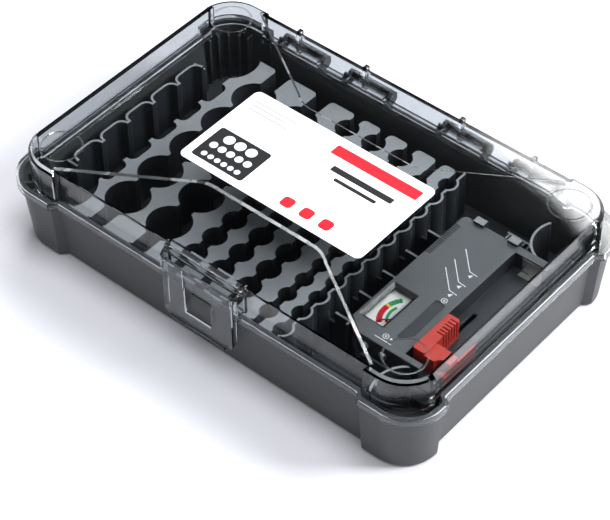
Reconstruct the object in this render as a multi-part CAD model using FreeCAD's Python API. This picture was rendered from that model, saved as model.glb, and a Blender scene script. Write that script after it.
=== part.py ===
import FreeCAD, Part
import math
import os

V = FreeCAD.Vector

# Battery storage case. The frame has its origin at the centre of the underside,
# with +X along the case, +Y to the hinge side and +Z up. All sizes are in millimetres.

# Case, overall
FLOOR = 1.6                 # floor thickness of the base
BASE_H = 44.0               # underside to the top of the base's rim
TOTAL_H = 66.0              # underside to the top of the lid
WALL = 1.8                  # wall thickness of the base
BASE_FOOT_X = 144.0         # half length at the underside
BASE_FOOT_Y = 90.6          # half width at the underside
BASE_TOP_X = 147.5          # half length under the rim
BASE_TOP_Y = 93.3           # half width under the rim
BASE_PILLAR = 4.2           # how far the corner pillars stand out
BASE_PILLAR_R = 22.0        # round of a corner pillar
PILLAR_X = 114.5            # where a pillar starts along the front
PILLAR_Y = 71.5             # where a pillar starts along the side
PILLAR_EASE = 4.0           # length of the sloped run into a pillar
FOOT_BEVEL = 1.6            # bevel of the lower edge

# Where lid and base meet
RIM_OUT = 2.3               # how far the lid's flange stands outside the base's wall
SKIRT_T = 1.3               # thickness of the flange's turned-down skirt
SKIRT_DOWN = 3.2            # how far the skirt hangs below the base's rim
SKIRT_GAP = 0.5             # gap between the skirt and the base's bead
SKIRT_Y1 = 78.0             # where the skirt ends towards the hinges
BEAD_H = 2.2                # height of the bead round the base's rim
RACK_ROUND = 24.0           # round of the rack's floor at its corners

# Lid
LID_X = 144.6               # half length of the lid's wall
LID_Y = 91.1                # half width of the lid's wall
LID_T = 2.0                 # wall thickness
LID_TOP_T = 2.4             # thickness of the top
LID_CORNER_R = 22.0         # round of the lid's corners
LID_PILLAR = 2.8            # how far the lid's pillars stand out
LID_PILLAR_X = 113.5        # where a lid pillar starts along the front
LID_PILLAR_Y = 74.0         # where a lid pillar starts along the side
LID_CHAMFER = 2.4           # chamfer on top of a pillar
FLANGE_T = 1.7              # thickness of the lid's flange
SEAT_GAP = 0.3              # gap between flange and rim
LIP_DOWN = 2.0              # how far the lid's lip goes into the base
STEP_DOWN = 0.9             # step from the hourglass to the front and back fields
STEP_SLOPE = 1.6            # width of the sloped step
WAIST_X = 40.0              # half length of the straight part of the step
WAIST_Y = 43.0              # half width of the hourglass at its waist
WAIST_EASE = 14.0           # length of the curve from the waist into the diagonal
WAIST_RISE = 5.3            # how far that curve climbs
KNEE_IN = 1.0               # end of the diagonal, in from the lid's long edge
KNEE_OUT = 2.5              # end of the diagonal, beyond the pillar's start
DISC_IN_X = 18.6            # corner disc, in from the wall's face
DISC_IN_Y = 17.6
DISC_R = 12.8               # outer radius of a corner disc
DISC_RING = 1.1             # width of the disc's ring
DISC_DEEP = 0.5             # depth of the ring
DISC_SIDES = 40             # flats round a disc's ring

# Hinges, four alike, with the pins moulded on the base
HINGE_XS = (-87.6, -36.0, 36.0, 87.6)
HINGE_L = 33.6              # length over the ears
EAR_T = 2.4                 # thickness of an ear
EAR_BEVEL = 2.2             # bevel of an ear's upper corners, clear of the turning flange
EAR_DOWN = 5.0              # how far an ear reaches below the rim
PIN_R = 1.9
PIN_GAP = 0.08              # running clearance round a pin
CLIP_T = 1.5                # wall of the lid's clips
CLIP_SIDE_GAP = 0.5         # gap between a clip and an ear
CLIP_MOUTH = 3.0            # mouth that snaps over the pin
HINGE_OUT = 3.9             # pin axis, behind the rim's edge
HINGE_UP = 1.6              # pin axis, above the rim
RIB_T = 2.6                 # stiffening rib above each clip
RIB_OUT = 3.4
TAB_H = 3.0                 # upright tab beside each hinge
TAB_W = 1.6
TAB_GAP = 0.8               # gap between a tab and its ear
ROOT = 0.5                  # how deep a piece is rooted in the wall that carries it
CLIP_WEB = 1.4              # web of a clip, above the flange
RIB_TOP = 0.4               # top of a rib, below the lid's field

# Latch
LATCH_X = 25.4              # half width of the flap
LATCH_T = 2.0               # thickness of the flap
LATCH_FRONT = 98.6          # front face of the flap
LATCH_FOOT = 17.5           # lower edge of the flap
LATCH_CHAMFER_Z = 60.0      # where the flap bends back to its pivot
LATCH_SIDE = 4.2            # depth of the side flanges
LATCH_LIP = 1.6             # how far the pull lip stands out
LATCH_LIP_T = 1.8
LATCH_LIP_ROUND = 0.72
LATCH_CORNER_R = 5.0
LATCH_WALL = 1.6            # thickness of the side flanges
LATCH_EAR_IN = 1.6          # front of the lid's ears, behind the flap's face
CHANNEL_OVER = 0.8          # finger channel, wider than the window on each side
STUB_SHORT = 0.3            # end of a stub pivot, inside its ear's outer face
PIVOT_R = 1.5
BARREL_R = 2.3
PIVOT_Y = -92.4
PIVOT_Z = 62.0
WINDOW_X = 9.8              # half width of the window
WINDOW_Z0 = 26.6
WINDOW_Z1 = 45.6
RECESS_D = 0.9              # depth of the finger channel above the window
BEND_IN = 0.7               # inner side of the bend
BEND_DOWN = 3.0             # where the bend starts, below the flap's top
EAR_GAP = 0.5               # gap between the flap and the lid's ears
LATCH_EAR_T = 2.2
BAY_IN = 2.2                # how far the lid's wall steps back behind the flap
CATCH_GAP = 0.35            # gap between the catch and the flap
CATCH_X = 8.6
CATCH_Z0 = 28.0
CATCH_Z1 = 38.6
CATCH_NOSE_H = 5.0          # upright face of the catch
CATCH_TOP = 1.0             # how far the catch's upper edge stands out

# Battery rack
SOFT_STEPS = 4              # flats round one softened upright edge
C_SIDES = 36                # flats round a pocket for a C cell
SMALL_SIDES = 24            # flats round a pocket for an AA or AAA cell
CORE_SIDES = 10             # flats of the hollow behind a pocket
POCKET_CUT = 20.0           # how far a pocket's cut runs above the islands
RACK_FLOOR = 1.5            # thickness of the rack's floor
RACK_H = 34.0               # underside to the top of the islands
RACK_T = 1.5                # wall thickness of the islands
RACK_Y0 = -86.0
RACK_Y1 = 81.6
RACK_GAP = 0.4              # gap between rack and base wall
ISLAND_ROUND = 3.0
C_R = 13.7
C_PITCH = 27.7
C_COUNT = 5
C_XS = (-91.4, -58.8)
C_NECK = 11.0
AA_R = 7.5
AA_PITCH = 16.9
AA_COUNT = 9
AA_XS = (-31.1, -10.8, 9.6)
AA_NECK = 6.5
AAA_R = 5.5
AAA_PITCH = 14.6
AAA_COUNTS = (10, 11)
AAA_XS = (30.1, 45.0)
AAA_NECK = 5.0
BLOCK_X = -123.2            # centre line of the block-cell channel
BLOCK_LONG = 27.4           # pocket size along X
BLOCK_SHORT = 18.6          # pocket size along Y
BLOCK_PITCH = 22.0
BLOCK_COUNT = 5
BLOCK_NECK = 16.6
BLOCK_WALL_H = 38.0
BLOCK_ROUND = 4.5
C_MID = -2.1                # middle of each row of pockets
AA_MID = 1.5
AAA_MIDS = (-6.0, -4.6)
BLOCK_MID = -2.5
D_X = 127.0                 # D-cell pockets in the four corners
D_Y = 72.2
D_R = 18.8
COLLAR_T = 1.5
WAVE_T = 1.4
WAVE_H = 35.6
D_RIBS = 5
D_RIB_T = 1.2
D_RIB_H = 37.0
D_RIB_R = 17.9
D_RIB_FIRST = 5.0           # direction of the first rib, in degrees
D_RIB_STEP = 20.0
COLLAR_SPREAD = 0.55        # how far a collar goes round, as a share of its reach
COLLAR_CLEAR = 0.6          # gap between a collar and the tester
WING_IN = 2.2               # ends of the raised wall, in from the case's wall
WING_DOWN = 3.0
FIN_H = 17.0                # fins between the wavy wall and the tester
FIN_GAP = 0.6
FIN_CAP = 4.0               # half length of a fin's cap
SIDE_FIN_SHARES = (0.08, 0.27, 0.46, 0.65, 0.84)    # their places along the tester
FOOT_FIN_SHARES = (0.12, 0.38, 0.64, 0.9)           # fins that carry the tester
CAP_UP = 2.0
TIE_H = 9.0
FIN_RUN = 4.0               # from the wavy wall to a fin
CLIP_W = 7.0                # tabs that hold the tester's back end
CLIP_BODY = 1.8
CLIP_NOSE = 2.4
CLIP_OVER = 0.3             # gap between a tab's nose and the tester
CLIP_UP = 2.2
CLIP_SHARES = (0.2, 0.8)    # their places across the tester
BRACE_W = 1.6
BRACE_L = 7.0
BRACE_H = 14.0
COMB_Y = 12.0               # toothed rib behind the tester
COMB_SHARE = 0.36           # where it starts across the tester
COMB_L = 17.0
COMB_H = 15.0
COMB_TEETH = 5
COMB_PITCH = 3.6
COMB_TOOTH = 1.2
STOP_H = 12.0               # ribs that stop the tester at the side and the front
STOP_GAP = 3.4
STOP_FRONT = 0.22           # how far the side stop stays from the tester's ends
STOP_BACK = 0.15
LEDGE_FROM = 0.35           # from where to where the front stop runs
LEDGE_TO = 0.85

# Tester
TESTER_X0 = 69.0
TESTER_L = 109.4
TESTER_W = 61.4
TESTER_MID = -1.0           # middle of the tester along Y
TESTER_Z0 = 11.0
TESTER_H = 25.0
TESTER_SPLIT = 11.0         # height of the tester's base half
SHELL_T = 1.8
TESTER_CORNER = 2.4         # bevel of the upright corners
SLANT_X = 11.0              # slanted front corner, along the front
SLANT_Y = 8.0               # slanted front corner, along the side
BODY_W = 40.3               # width of the part that stands full height
TROUGH_Z = 24.6             # floor of the battery trough
END_T = 4.0                 # end walls of the trough
END_EXTRA = 1.6             # the back wall of the trough is thicker by this
STEP_W = 12.5               # width of the trough's front wall beside the body
COVER_ROUND = 0.8           # round of the cover's upper edge
PAN_BEVEL = 0.8

# Inside the tester
METER_X0 = 71.2             # opening over the meter's scale
METER_X1 = 88.8
METER_Y0 = -44.8
METER_Y1 = -13.0
BAND_X = 97.6               # sunk band beside the meter
BAND_W = 8.0
BAND_DEPTH = 0.5
NOTCHES = 18                # grip notches along the tester's left edge
NOTCH_PITCH = 1.6
NOTCH_W = 0.7
NOTCH_L = 4.2
NOTCH_Y = 10.0              # first notch, from the back end
METER_SLOPE = 2.4           # how far the opening narrows to the pane
PANE_T = 0.9
PANE_EDGE = 1.2             # how far the pane reaches under the cover
SCALE_T = 0.4
NEEDLE_X = 93.0
NEEDLE_Y = -29.0
NEEDLE_L = 17.0
NEEDLE_REST = 218.0         # direction of the needle at rest, in degrees from +X
NEEDLE_T = 0.4
NEEDLE_W = 0.7
NEEDLE_TAIL = 4.2
HUB_R = 1.5
NEEDLE_DOWN = 1.2           # needle, below the pane
SCALE_DOWN = 1.4            # scale plate, below the needle
CORE_DOWN = 8.6             # foot of the core, below the scale
FLOOR_DOWN = 4.4            # floor of the meter's case, below the core
CORE_R = 4.0
CORE_H = 5.0
COIL_GAP = 0.6
COIL_T = 0.8
COIL_W = 2.0
YOKE_GAP = 0.8
YOKE_T = 1.6
STAFF_R = 0.5
METER_WALL = 1.0
METER_OUT = 11.0            # meter's case, beyond the pivot
METER_EDGE = 1.2            # meter's case, beyond the opening's ends
LEDGE_W = 1.6               # ledge under the scale
BRIDGE_W = 3.2
BRIDGE_T = 0.8
BRIDGE_GAP = 0.4
SPRING_R = 1.4              # inner turn of the hairspring
SPRING_PITCH = 0.9
SPRING_W = 0.3
SPRING_TURNS = 2
SPRING_SIDES = 16
BOARD_T = 1.6
BOARD_L = 30.0
BOARD_W = 26.0
BOARD_X = 4.0               # board, from the tester's left side
BOARD_Y = 8.0               # board, from the tester's middle
BOARD_UP = 5.0
SCREW_R = 1.3
SCREW_HEAD_R = 2.34
SCREW_BACK_SHARE = 0.75     # places of the two screws across the tester
SCREW_FRONT_SHARE = 0.64
SCREW_FRONT_Y = 5.2
SCREW_HEAD = 1.2
BOARD_LEG = 1.6
RESISTOR_R = 1.9
RESISTOR_L = 10.0
RESISTOR_SHARES = (0.3, 0.6)    # their places across the board
LEAD_W = 0.8
STUD_R = 1.6
DIMPLE_R = 2.4              # dimple on the slider's spring plate
STUD_HEAD_R = 2.6
STUD_HEAD_T = 0.8
STUD_DOWN = 7.0             # studs, below the cover's top
STUD_OUT = 1.2
STUD_X = 15.6
STUD_PITCH = 12.7           # distance between the poles of a block cell
BOSS_T = 1.6
SCREW_IN = 6.0              # how far a screw goes into the cover
PLATE_SPRING_T = 0.5        # thickness of the spring plates
CONTACT_W = 12.0
CONTACT_FOOT = 4.5

# Slider of the tester
GRIP_ROUND = 1.2
ARM_ROOT = 1.3              # how deep the arm starts inside the grip
CHEEK_DOWN = 4.0
SCOOP_R = 5.4               # round scoop in the cheek's front end
GROOVE_W = 1.0
GROOVE_PITCH = 2.4
GROOVE_DEEP = 0.8
GROOVE_IN = 3.4
KEEPER_W = 6.8
KEEPER_OVER = 0.6
KEEPER_T = 1.2
GRIP_X0 = 111.0
GRIP_X1 = 119.0
GRIP_Y0 = -47.4
GRIP_Y1 = -15.5
SLIDER_TOP = 39.2
ARM_Y1 = -36.0
ARM_TOP = 37.6
PLATE_X0 = 130.8            # outer cheek of the slider
PLATE_T = 1.3
PLATE_Y1 = -20.0
STEM_W = 2.4
STEM_Y0 = 3.0               # stem, from the front of the grip
STEM_L = 9.0
SLOT_GAP = 0.35
SLIDER_UP = 39.0            # travel towards the fixed contact
SLIDER_DOWN = 4.0           # travel the other way
GRIP_RIBS = 6

# Label
LABEL_X0 = -70.2
LABEL_X1 = 63.2
LABEL_Y0 = -35.4
LABEL_Y1 = 34.6
LABEL_T = 0.3
LABEL_R = 4.0

# Working values
CUT_OVER = 0.001            # how far a sloped cut runs past the face that it opens
NEAR = 0.1                  # an edge this close to a face lies on it
ALONG = 0.9                 # share of an edge's direction that makes it run along an axis
OVER = 1.0                  # how far a straight cut runs past a face
SINK = 0.2                  # how deep one solid starts inside the one that it joins


def box(x0, x1, y0, y1, z0, z1):
    """A box between two corners."""
    return Part.makeBox(x1 - x0, y1 - y0, z1 - z0, V(x0, y0, z0))


def bar_x(x0, x1, y, z, radius):
    """A round bar along X."""
    return Part.makeCylinder(radius, x1 - x0, V(x0, y, z), V(1, 0, 0))


def post(x, y, z0, z1, radius):
    """A round bar along Z."""
    return Part.makeCylinder(radius, z1 - z0, V(x, y, z0))


def prism(points, z0, z1):
    """A straight-sided block over a polygon of (x, y) points."""
    corners = [V(x, y, z0) for x, y in points]
    face = Part.Face(Part.makePolygon(corners + corners[:1]))
    return face.extrude(V(0, 0, z1 - z0))


def rounded_box(x0, x1, y0, y1, z0, z1, radius):
    """A box with its four upright edges rounded."""
    block = box(x0, x1, y0, y1, z0, z1)
    upright = [e for e in block.Edges if abs(e.tangentAt(e.FirstParameter).z) > ALONG]
    return block.makeFillet(radius, upright)


def soft_box(x0, x1, y0, y1, z0, z1, radius):
    """A box whose upright edges are rounded in a few flat steps."""
    points = []
    for index in range(4):
        mid_x = x1 - radius if index in (0, 3) else x0 + radius
        mid_y = y1 - radius if index in (0, 1) else y0 + radius
        for step in range(SOFT_STEPS + 1):
            turn = math.pi / 2 * (index + step / SOFT_STEPS)
            points.append((mid_x + radius * math.cos(turn), mid_y + radius * math.sin(turn)))
    return prism(points, z0, z1)


def flat_post(x, y, z0, z1, radius, sides):
    """A post with flats that stand a radius from its axis, one of them towards +X."""
    reach = radius / math.cos(math.pi / sides)
    turns = [math.pi / sides * (2 * index + 1) for index in range(sides)]
    return prism([(x + reach * math.cos(t), y + reach * math.sin(t)) for t in turns], z0, z1)


def fuse(shapes):
    """Join a list of solids."""
    whole = shapes[0]
    if len(shapes) > 1:
        whole = whole.multiFuse(shapes[1:])
    return whole.removeSplitter()


def mirror_x(shape):
    """The same shape on the other end of the case."""
    return shape.mirror(V(0, 0, 0), V(1, 0, 0))


def mirror_y(shape):
    """The same shape on the other side of the case."""
    return shape.mirror(V(0, 0, 0), V(0, 1, 0))


def pillared_wire(half_x, half_y, out, radius, z):
    """Outline of the base: a rectangle whose corners stand out as rounded pillars."""
    arc_mid = radius * (1 - math.sqrt(0.5))
    edges = []

    def quarter(sx, sy):
        """Edges from the middle of the side to the middle of the front or back."""
        side = V(sx * half_x, 0, z)
        side_in = V(sx * half_x, sy * (PILLAR_Y - PILLAR_EASE), z)
        side_out = V(sx * (half_x + out), sy * PILLAR_Y, z)
        arc_start = V(sx * (half_x + out), sy * (half_y + out - radius), z)
        middle = V(sx * (half_x + out - arc_mid), sy * (half_y + out - arc_mid), z)
        arc_end = V(sx * (half_x + out - radius), sy * (half_y + out), z)
        front_out = V(sx * PILLAR_X, sy * (half_y + out), z)
        front_in = V(sx * (PILLAR_X - PILLAR_EASE), sy * half_y, z)
        front = V(0, sy * half_y, z)
        return [Part.makeLine(side, side_in), Part.makeLine(side_in, side_out),
                Part.makeLine(side_out, arc_start), Part.Arc(arc_start, middle, arc_end).toShape(),
                Part.makeLine(arc_end, front_out), Part.makeLine(front_out, front_in),
                Part.makeLine(front_in, front)]

    edges += quarter(1, -1)
    edges += quarter(-1, -1)
    edges += quarter(-1, 1)
    edges += quarter(1, 1)
    return Part.Wire(Part.__sortEdges__(edges))


def pillared_block(low, high, z0, z1):
    """A tapered block between two pillared outlines, each (half_x, half_y, out, radius)."""
    return Part.makeLoft([pillared_wire(*low, z0), pillared_wire(*high, z1)], True, True)


def pillared_plate(half_x, half_y, out, radius, z0, z1):
    """A straight block over one pillared outline."""
    face = Part.Face(pillared_wire(half_x, half_y, out, radius, z0))
    return face.extrude(V(0, 0, z1 - z0))


RIM_X = BASE_TOP_X + RIM_OUT
RIM_Y = BASE_TOP_Y + RIM_OUT
HINGE_Y = RIM_Y + HINGE_OUT
HINGE_Z = BASE_H + HINGE_UP
EAR_Z0 = BASE_H - EAR_DOWN


def flange_plate(inset, z0, z1):
    """A plate over the outline of the lid's flange, set in by a margin."""
    return pillared_plate(RIM_X - inset, RIM_Y - inset, BASE_PILLAR, BASE_PILLAR_R + RIM_OUT - inset, z0, z1)


def make_base():
    """Outer case: floor, drafted walls, beaded rim, hinge ears and pins."""
    foot = (BASE_FOOT_X, BASE_FOOT_Y, BASE_PILLAR, BASE_PILLAR_R)
    top = (BASE_TOP_X, BASE_TOP_Y, BASE_PILLAR, BASE_PILLAR_R)
    inner_r = BASE_PILLAR_R - WALL
    sole = (BASE_FOOT_X - FOOT_BEVEL, BASE_FOOT_Y - FOOT_BEVEL, BASE_PILLAR, BASE_PILLAR_R - FOOT_BEVEL)
    bevel = pillared_block(sole, foot, 0, FOOT_BEVEL)
    outer = pillared_block(foot, top, FOOT_BEVEL, BASE_H)
    bead = flange_plate(SKIRT_T + SKIRT_GAP, BASE_H - BEAD_H, BASE_H)
    slope = (BASE_TOP_X - BASE_FOOT_X) * FLOOR / BASE_H
    low_in = (BASE_FOOT_X - WALL + slope, BASE_FOOT_Y - WALL + slope, BASE_PILLAR, inner_r)
    top_in = (BASE_TOP_X - WALL, BASE_TOP_Y - WALL, BASE_PILLAR, inner_r)
    cavity = pillared_block(low_in, top_in, FLOOR, BASE_H)
    shell = outer.multiFuse([bevel, bead]).cut(cavity)
    extras = []
    for hinge_x in HINGE_XS:
        extras += hinge_ears(hinge_x)
    for sy in (-1, 1):
        extras += d_ribs(-1, sy)
    return fuse([shell] + extras)


def make_catch():
    """Catch on the base's front wall, behind the flap of the latch."""
    draft = (BASE_TOP_Y - BASE_FOOT_Y) / (BASE_H - FOOT_BEVEL)
    nose = LATCH_FRONT - LATCH_T - CATCH_GAP
    low = BASE_FOOT_Y + draft * (CATCH_Z0 - FOOT_BEVEL)
    high = BASE_FOOT_Y + draft * (CATCH_Z1 - FOOT_BEVEL)
    face = Part.Face(Part.makePolygon([
        V(-CATCH_X, -low, CATCH_Z0), V(-CATCH_X, -nose, CATCH_Z0),
        V(-CATCH_X, -nose, CATCH_Z0 + CATCH_NOSE_H), V(-CATCH_X, -high - CATCH_TOP, CATCH_Z1),
        V(-CATCH_X, -high, CATCH_Z1), V(-CATCH_X, -low, CATCH_Z0)]))
    return face.extrude(V(2 * CATCH_X, 0, 0))


def hinge_ears(hinge_x):
    """Two ears with a pin between them, and the upright tab beside them."""
    shapes = []
    half = HINGE_L / 2
    reach = PIN_R + CLIP_T
    y0 = BASE_TOP_Y - ROOT
    y1 = HINGE_Y + reach
    clear_y = RIM_Y + EAR_GAP
    top = HINGE_Z + reach
    low = HINGE_Z - reach
    for x0 in (hinge_x - half, hinge_x + half - EAR_T):
        side = Part.Face(Part.makePolygon([
            V(x0, y0, EAR_Z0), V(x0, y1 - reach, EAR_Z0), V(x0, y1, low), V(x0, y1, top - EAR_BEVEL),
            V(x0, y1 - EAR_BEVEL, top), V(x0, HINGE_Y - reach + EAR_BEVEL, top),
            V(x0, HINGE_Y - reach, top - EAR_BEVEL), V(x0, clear_y, BASE_H), V(x0, y0, BASE_H),
            V(x0, y0, EAR_Z0)]))
        shapes.append(side.extrude(V(EAR_T, 0, 0)))
    shapes.append(bar_x(hinge_x - half + ROOT, hinge_x + half - ROOT, HINGE_Y, HINGE_Z, PIN_R))
    tab_x = hinge_x - half - TAB_GAP - TAB_W
    shapes.append(box(tab_x, tab_x + TAB_W, y0, clear_y + TAB_W, EAR_Z0, BASE_H))
    shapes.append(box(tab_x, tab_x + TAB_W, clear_y, clear_y + TAB_W, EAR_Z0, BASE_H + TAB_H))
    return shapes


def d_ribs(sx, sy):
    """Upright ribs on the corner wall that steady a D cell."""
    shapes = []
    reach = D_R + BASE_PILLAR_R
    block = box(-reach, 0, -D_RIB_T / 2, D_RIB_T / 2, FLOOR, D_RIB_H)
    inside = pillared_block((BASE_FOOT_X - WALL / 2, BASE_FOOT_Y - WALL / 2, BASE_PILLAR, BASE_PILLAR_R),
                            (BASE_TOP_X - WALL / 2, BASE_TOP_Y - WALL / 2, BASE_PILLAR, BASE_PILLAR_R),
                            FLOOR, BASE_H)
    core = post(0, 0, FLOOR - OVER, BASE_H, D_RIB_R)
    for index in range(D_RIBS):
        angle = D_RIB_FIRST + index * D_RIB_STEP
        rib = block.cut(core)
        rib.rotate(V(0, 0, 0), V(0, 0, 1), -angle)
        if sy < 0:
            rib = mirror_y(rib)
        rib.translate(V(sx * D_X, sy * D_Y, 0))
        shapes.append(rib.common(inside))
    return shapes


def lid_block(inset, z0, z1, chamfer):
    """The lid's outer or inner form: rounded rectangle with four chamfered corner pillars."""
    body = rounded_box(-LID_X + inset, LID_X - inset, -LID_Y + inset, LID_Y - inset, z0, z1,
                       LID_CORNER_R - inset)
    shapes = [body]
    for sx in (-1, 1):
        for sy in (-1, 1):
            x1 = LID_X + LID_PILLAR - inset
            y1 = LID_Y + LID_PILLAR - inset
            pillar = box(LID_PILLAR_X + inset, x1, LID_PILLAR_Y + inset - LID_CORNER_R, y1, z0, z1)
            corner = [e for e in pillar.Edges if abs(e.tangentAt(0).z) > ALONG
                      and e.Vertexes[0].X > x1 - NEAR and e.Vertexes[0].Y > y1 - NEAR]
            pillar = pillar.makeFillet(LID_CORNER_R + LID_PILLAR - inset, corner)
            pillar = pillar.cut(box(LID_X - inset, x1 + OVER, 0, LID_PILLAR_Y + inset, z0 - OVER, z1 + OVER))
            if chamfer:
                edges = [e for e in pillar.Edges if e.BoundBox.ZMin > z1 - CUT_OVER
                         and (e.BoundBox.XMax > x1 - NEAR or e.BoundBox.YMax > y1 - NEAR)]
                pillar = pillar.makeChamfer(chamfer, edges)
            if sx < 0:
                pillar = mirror_x(pillar)
            if sy < 0:
                pillar = mirror_y(pillar)
            shapes.append(pillar)
    return fuse(shapes)


def field_cut(sy):
    """The lower field at the front or back of the lid's top, with its sloped edge."""
    wires = []
    turn_x = WAIST_X - WAIST_EASE * 0.3 + WAIST_EASE
    run_x = LID_PILLAR_X + KNEE_OUT - turn_x
    run_y = LID_Y - KNEE_IN - WAIST_Y - WAIST_RISE
    run = math.hypot(run_x, run_y)
    out_y = LID_Y + LID_PILLAR + 1
    for grow, z in ((0.0, TOTAL_H - STEP_DOWN), (STEP_SLOPE, TOTAL_H + CUT_OVER)):
        nx = grow * run_y / run
        ny = grow * run_x / run
        foot = (LID_PILLAR_X, out_y)
        knee = (turn_x + run_x + nx, WAIST_Y + WAIST_RISE + run_y - ny)
        turn = (turn_x + nx * 0.6, WAIST_Y + WAIST_RISE - ny)
        ease = (turn_x - WAIST_EASE * 0.46, WAIST_Y + WAIST_RISE * 0.25 - grow)
        waist = (turn_x - WAIST_EASE, WAIST_Y - grow)
        right = [V(x, sy * y, z) for x, y in (foot, knee, turn, ease, waist)]
        left = [V(-p.x, p.y, z) for p in reversed(right)]
        edges = [Part.makeLine(right[0], right[1]), Part.makeLine(right[1], right[2]),
                 Part.Arc(right[2], right[3], right[4]).toShape(), Part.makeLine(right[4], left[0]),
                 Part.Arc(left[0], left[1], left[2]).toShape(), Part.makeLine(left[2], left[3]),
                 Part.makeLine(left[3], left[4]), Part.makeLine(left[4], right[0])]
        wires.append(Part.Wire(edges))
    return Part.makeLoft(wires, True, True)


def make_lid():
    """Clear lid: walls, top with its hourglass step, flange, hinge clips and latch ears."""
    seat = BASE_H + SEAT_GAP
    outer = lid_block(0, BASE_H - LIP_DOWN, TOTAL_H, LID_CHAMFER)
    inner = lid_block(LID_T, BASE_H - LIP_DOWN - OVER, TOTAL_H - LID_TOP_T, 0)
    flange = flange_plate(0, seat, seat + FLANGE_T)
    skirt_z0 = BASE_H - SKIRT_DOWN
    skirt = flange_plate(0, skirt_z0, seat).cut(flange_plate(SKIRT_T, skirt_z0 - OVER, seat + OVER))
    skirt = skirt.cut(box(-RIM_X - BASE_PILLAR - OVER, RIM_X + BASE_PILLAR + OVER, SKIRT_Y1,
                          RIM_Y + BASE_PILLAR + OVER, skirt_z0 - OVER, seat + OVER))
    ear_x0 = LATCH_X + EAR_GAP
    ear_x1 = ear_x0 + LATCH_EAR_T
    bay_y = LID_Y - BAY_IN
    bay_wall = box(-ear_x1, ear_x1, -bay_y, -bay_y + LID_T, seat, TOTAL_H - STEP_DOWN)
    lid = outer.multiFuse([flange, skirt]).cut(inner).fuse(bay_wall)
    lid = lid.cut(field_cut(1)).cut(field_cut(-1))
    lid = lid.cut(box(-ear_x0, ear_x0, -LATCH_FRONT, -bay_y, seat + FLANGE_T, TOTAL_H + OVER))
    lid = lid.cut(box(-ear_x0, ear_x0, -LATCH_FRONT, -BASE_TOP_Y - SEAT_GAP, skirt_z0 - OVER,
                      seat + FLANGE_T + OVER))

    shapes = [lid]
    top = TOTAL_H - STEP_DOWN
    ear_front = LATCH_FRONT - LATCH_EAR_IN
    for x0 in (-ear_x1, ear_x0):
        face = Part.Face(Part.makePolygon([
            V(x0, -bay_y, seat), V(x0, -ear_front, seat), V(x0, -ear_front, LATCH_CHAMFER_Z - OVER),
            V(x0, -LID_Y - ROOT, top), V(x0, -bay_y, top), V(x0, -bay_y, seat)]))
        ear = face.extrude(V(LATCH_EAR_T, 0, 0))
        shapes.append(ear)
    for hinge_x in HINGE_XS:
        shapes += hinge_clip(hinge_x)
    lid = fuse(shapes)
    lid = lid.cut(bar_x(-ear_x1 - OVER, ear_x1 + OVER, PIVOT_Y, PIVOT_Z, PIVOT_R + PIN_GAP))
    for hinge_x in HINGE_XS:
        half = HINGE_L / 2
        lid = lid.cut(bar_x(hinge_x - half, hinge_x + half, HINGE_Y, HINGE_Z, PIN_R + PIN_GAP))
        mouth = box(hinge_x - half, hinge_x + half, HINGE_Y - CLIP_MOUTH / 2, HINGE_Y + CLIP_MOUTH / 2,
                    HINGE_Z - 2 * CLIP_MOUTH, HINGE_Z)
        lid = lid.cut(mouth)
    for sx in (-1, 1):
        for sy in (-1, 1):
            x = sx * (LID_X - DISC_IN_X)
            y = sy * (LID_Y - DISC_IN_Y)
            ring = flat_post(x, y, TOTAL_H - DISC_DEEP, TOTAL_H + OVER, DISC_R, DISC_SIDES)
            disc = flat_post(x, y, TOTAL_H - OVER, TOTAL_H + 2 * OVER, DISC_R - DISC_RING, DISC_SIDES)
            lid = lid.cut(ring.cut(disc))
    return lid


def hinge_clip(hinge_x):
    """The lid's clip round one hinge pin, with its web and the stiffening rib above it."""
    half = HINGE_L / 2 - EAR_T - CLIP_SIDE_GAP
    clip_r = PIN_R + PIN_GAP + CLIP_T
    x0 = hinge_x - half
    x1 = hinge_x + half
    sleeve = bar_x(x0, x1, HINGE_Y, HINGE_Z, clip_r)
    web_top = BASE_H + SEAT_GAP + FLANGE_T + CLIP_WEB
    web = box(x0, x1, LID_Y - LID_T / 2, HINGE_Y, BASE_H + SEAT_GAP, web_top)
    rib = box(hinge_x - RIB_T / 2, hinge_x + RIB_T / 2, LID_Y - LID_T / 2, LID_Y + RIB_OUT,
              BASE_H + SEAT_GAP, TOTAL_H - STEP_DOWN - RIB_TOP)
    return [sleeve, web, rib]


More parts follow.
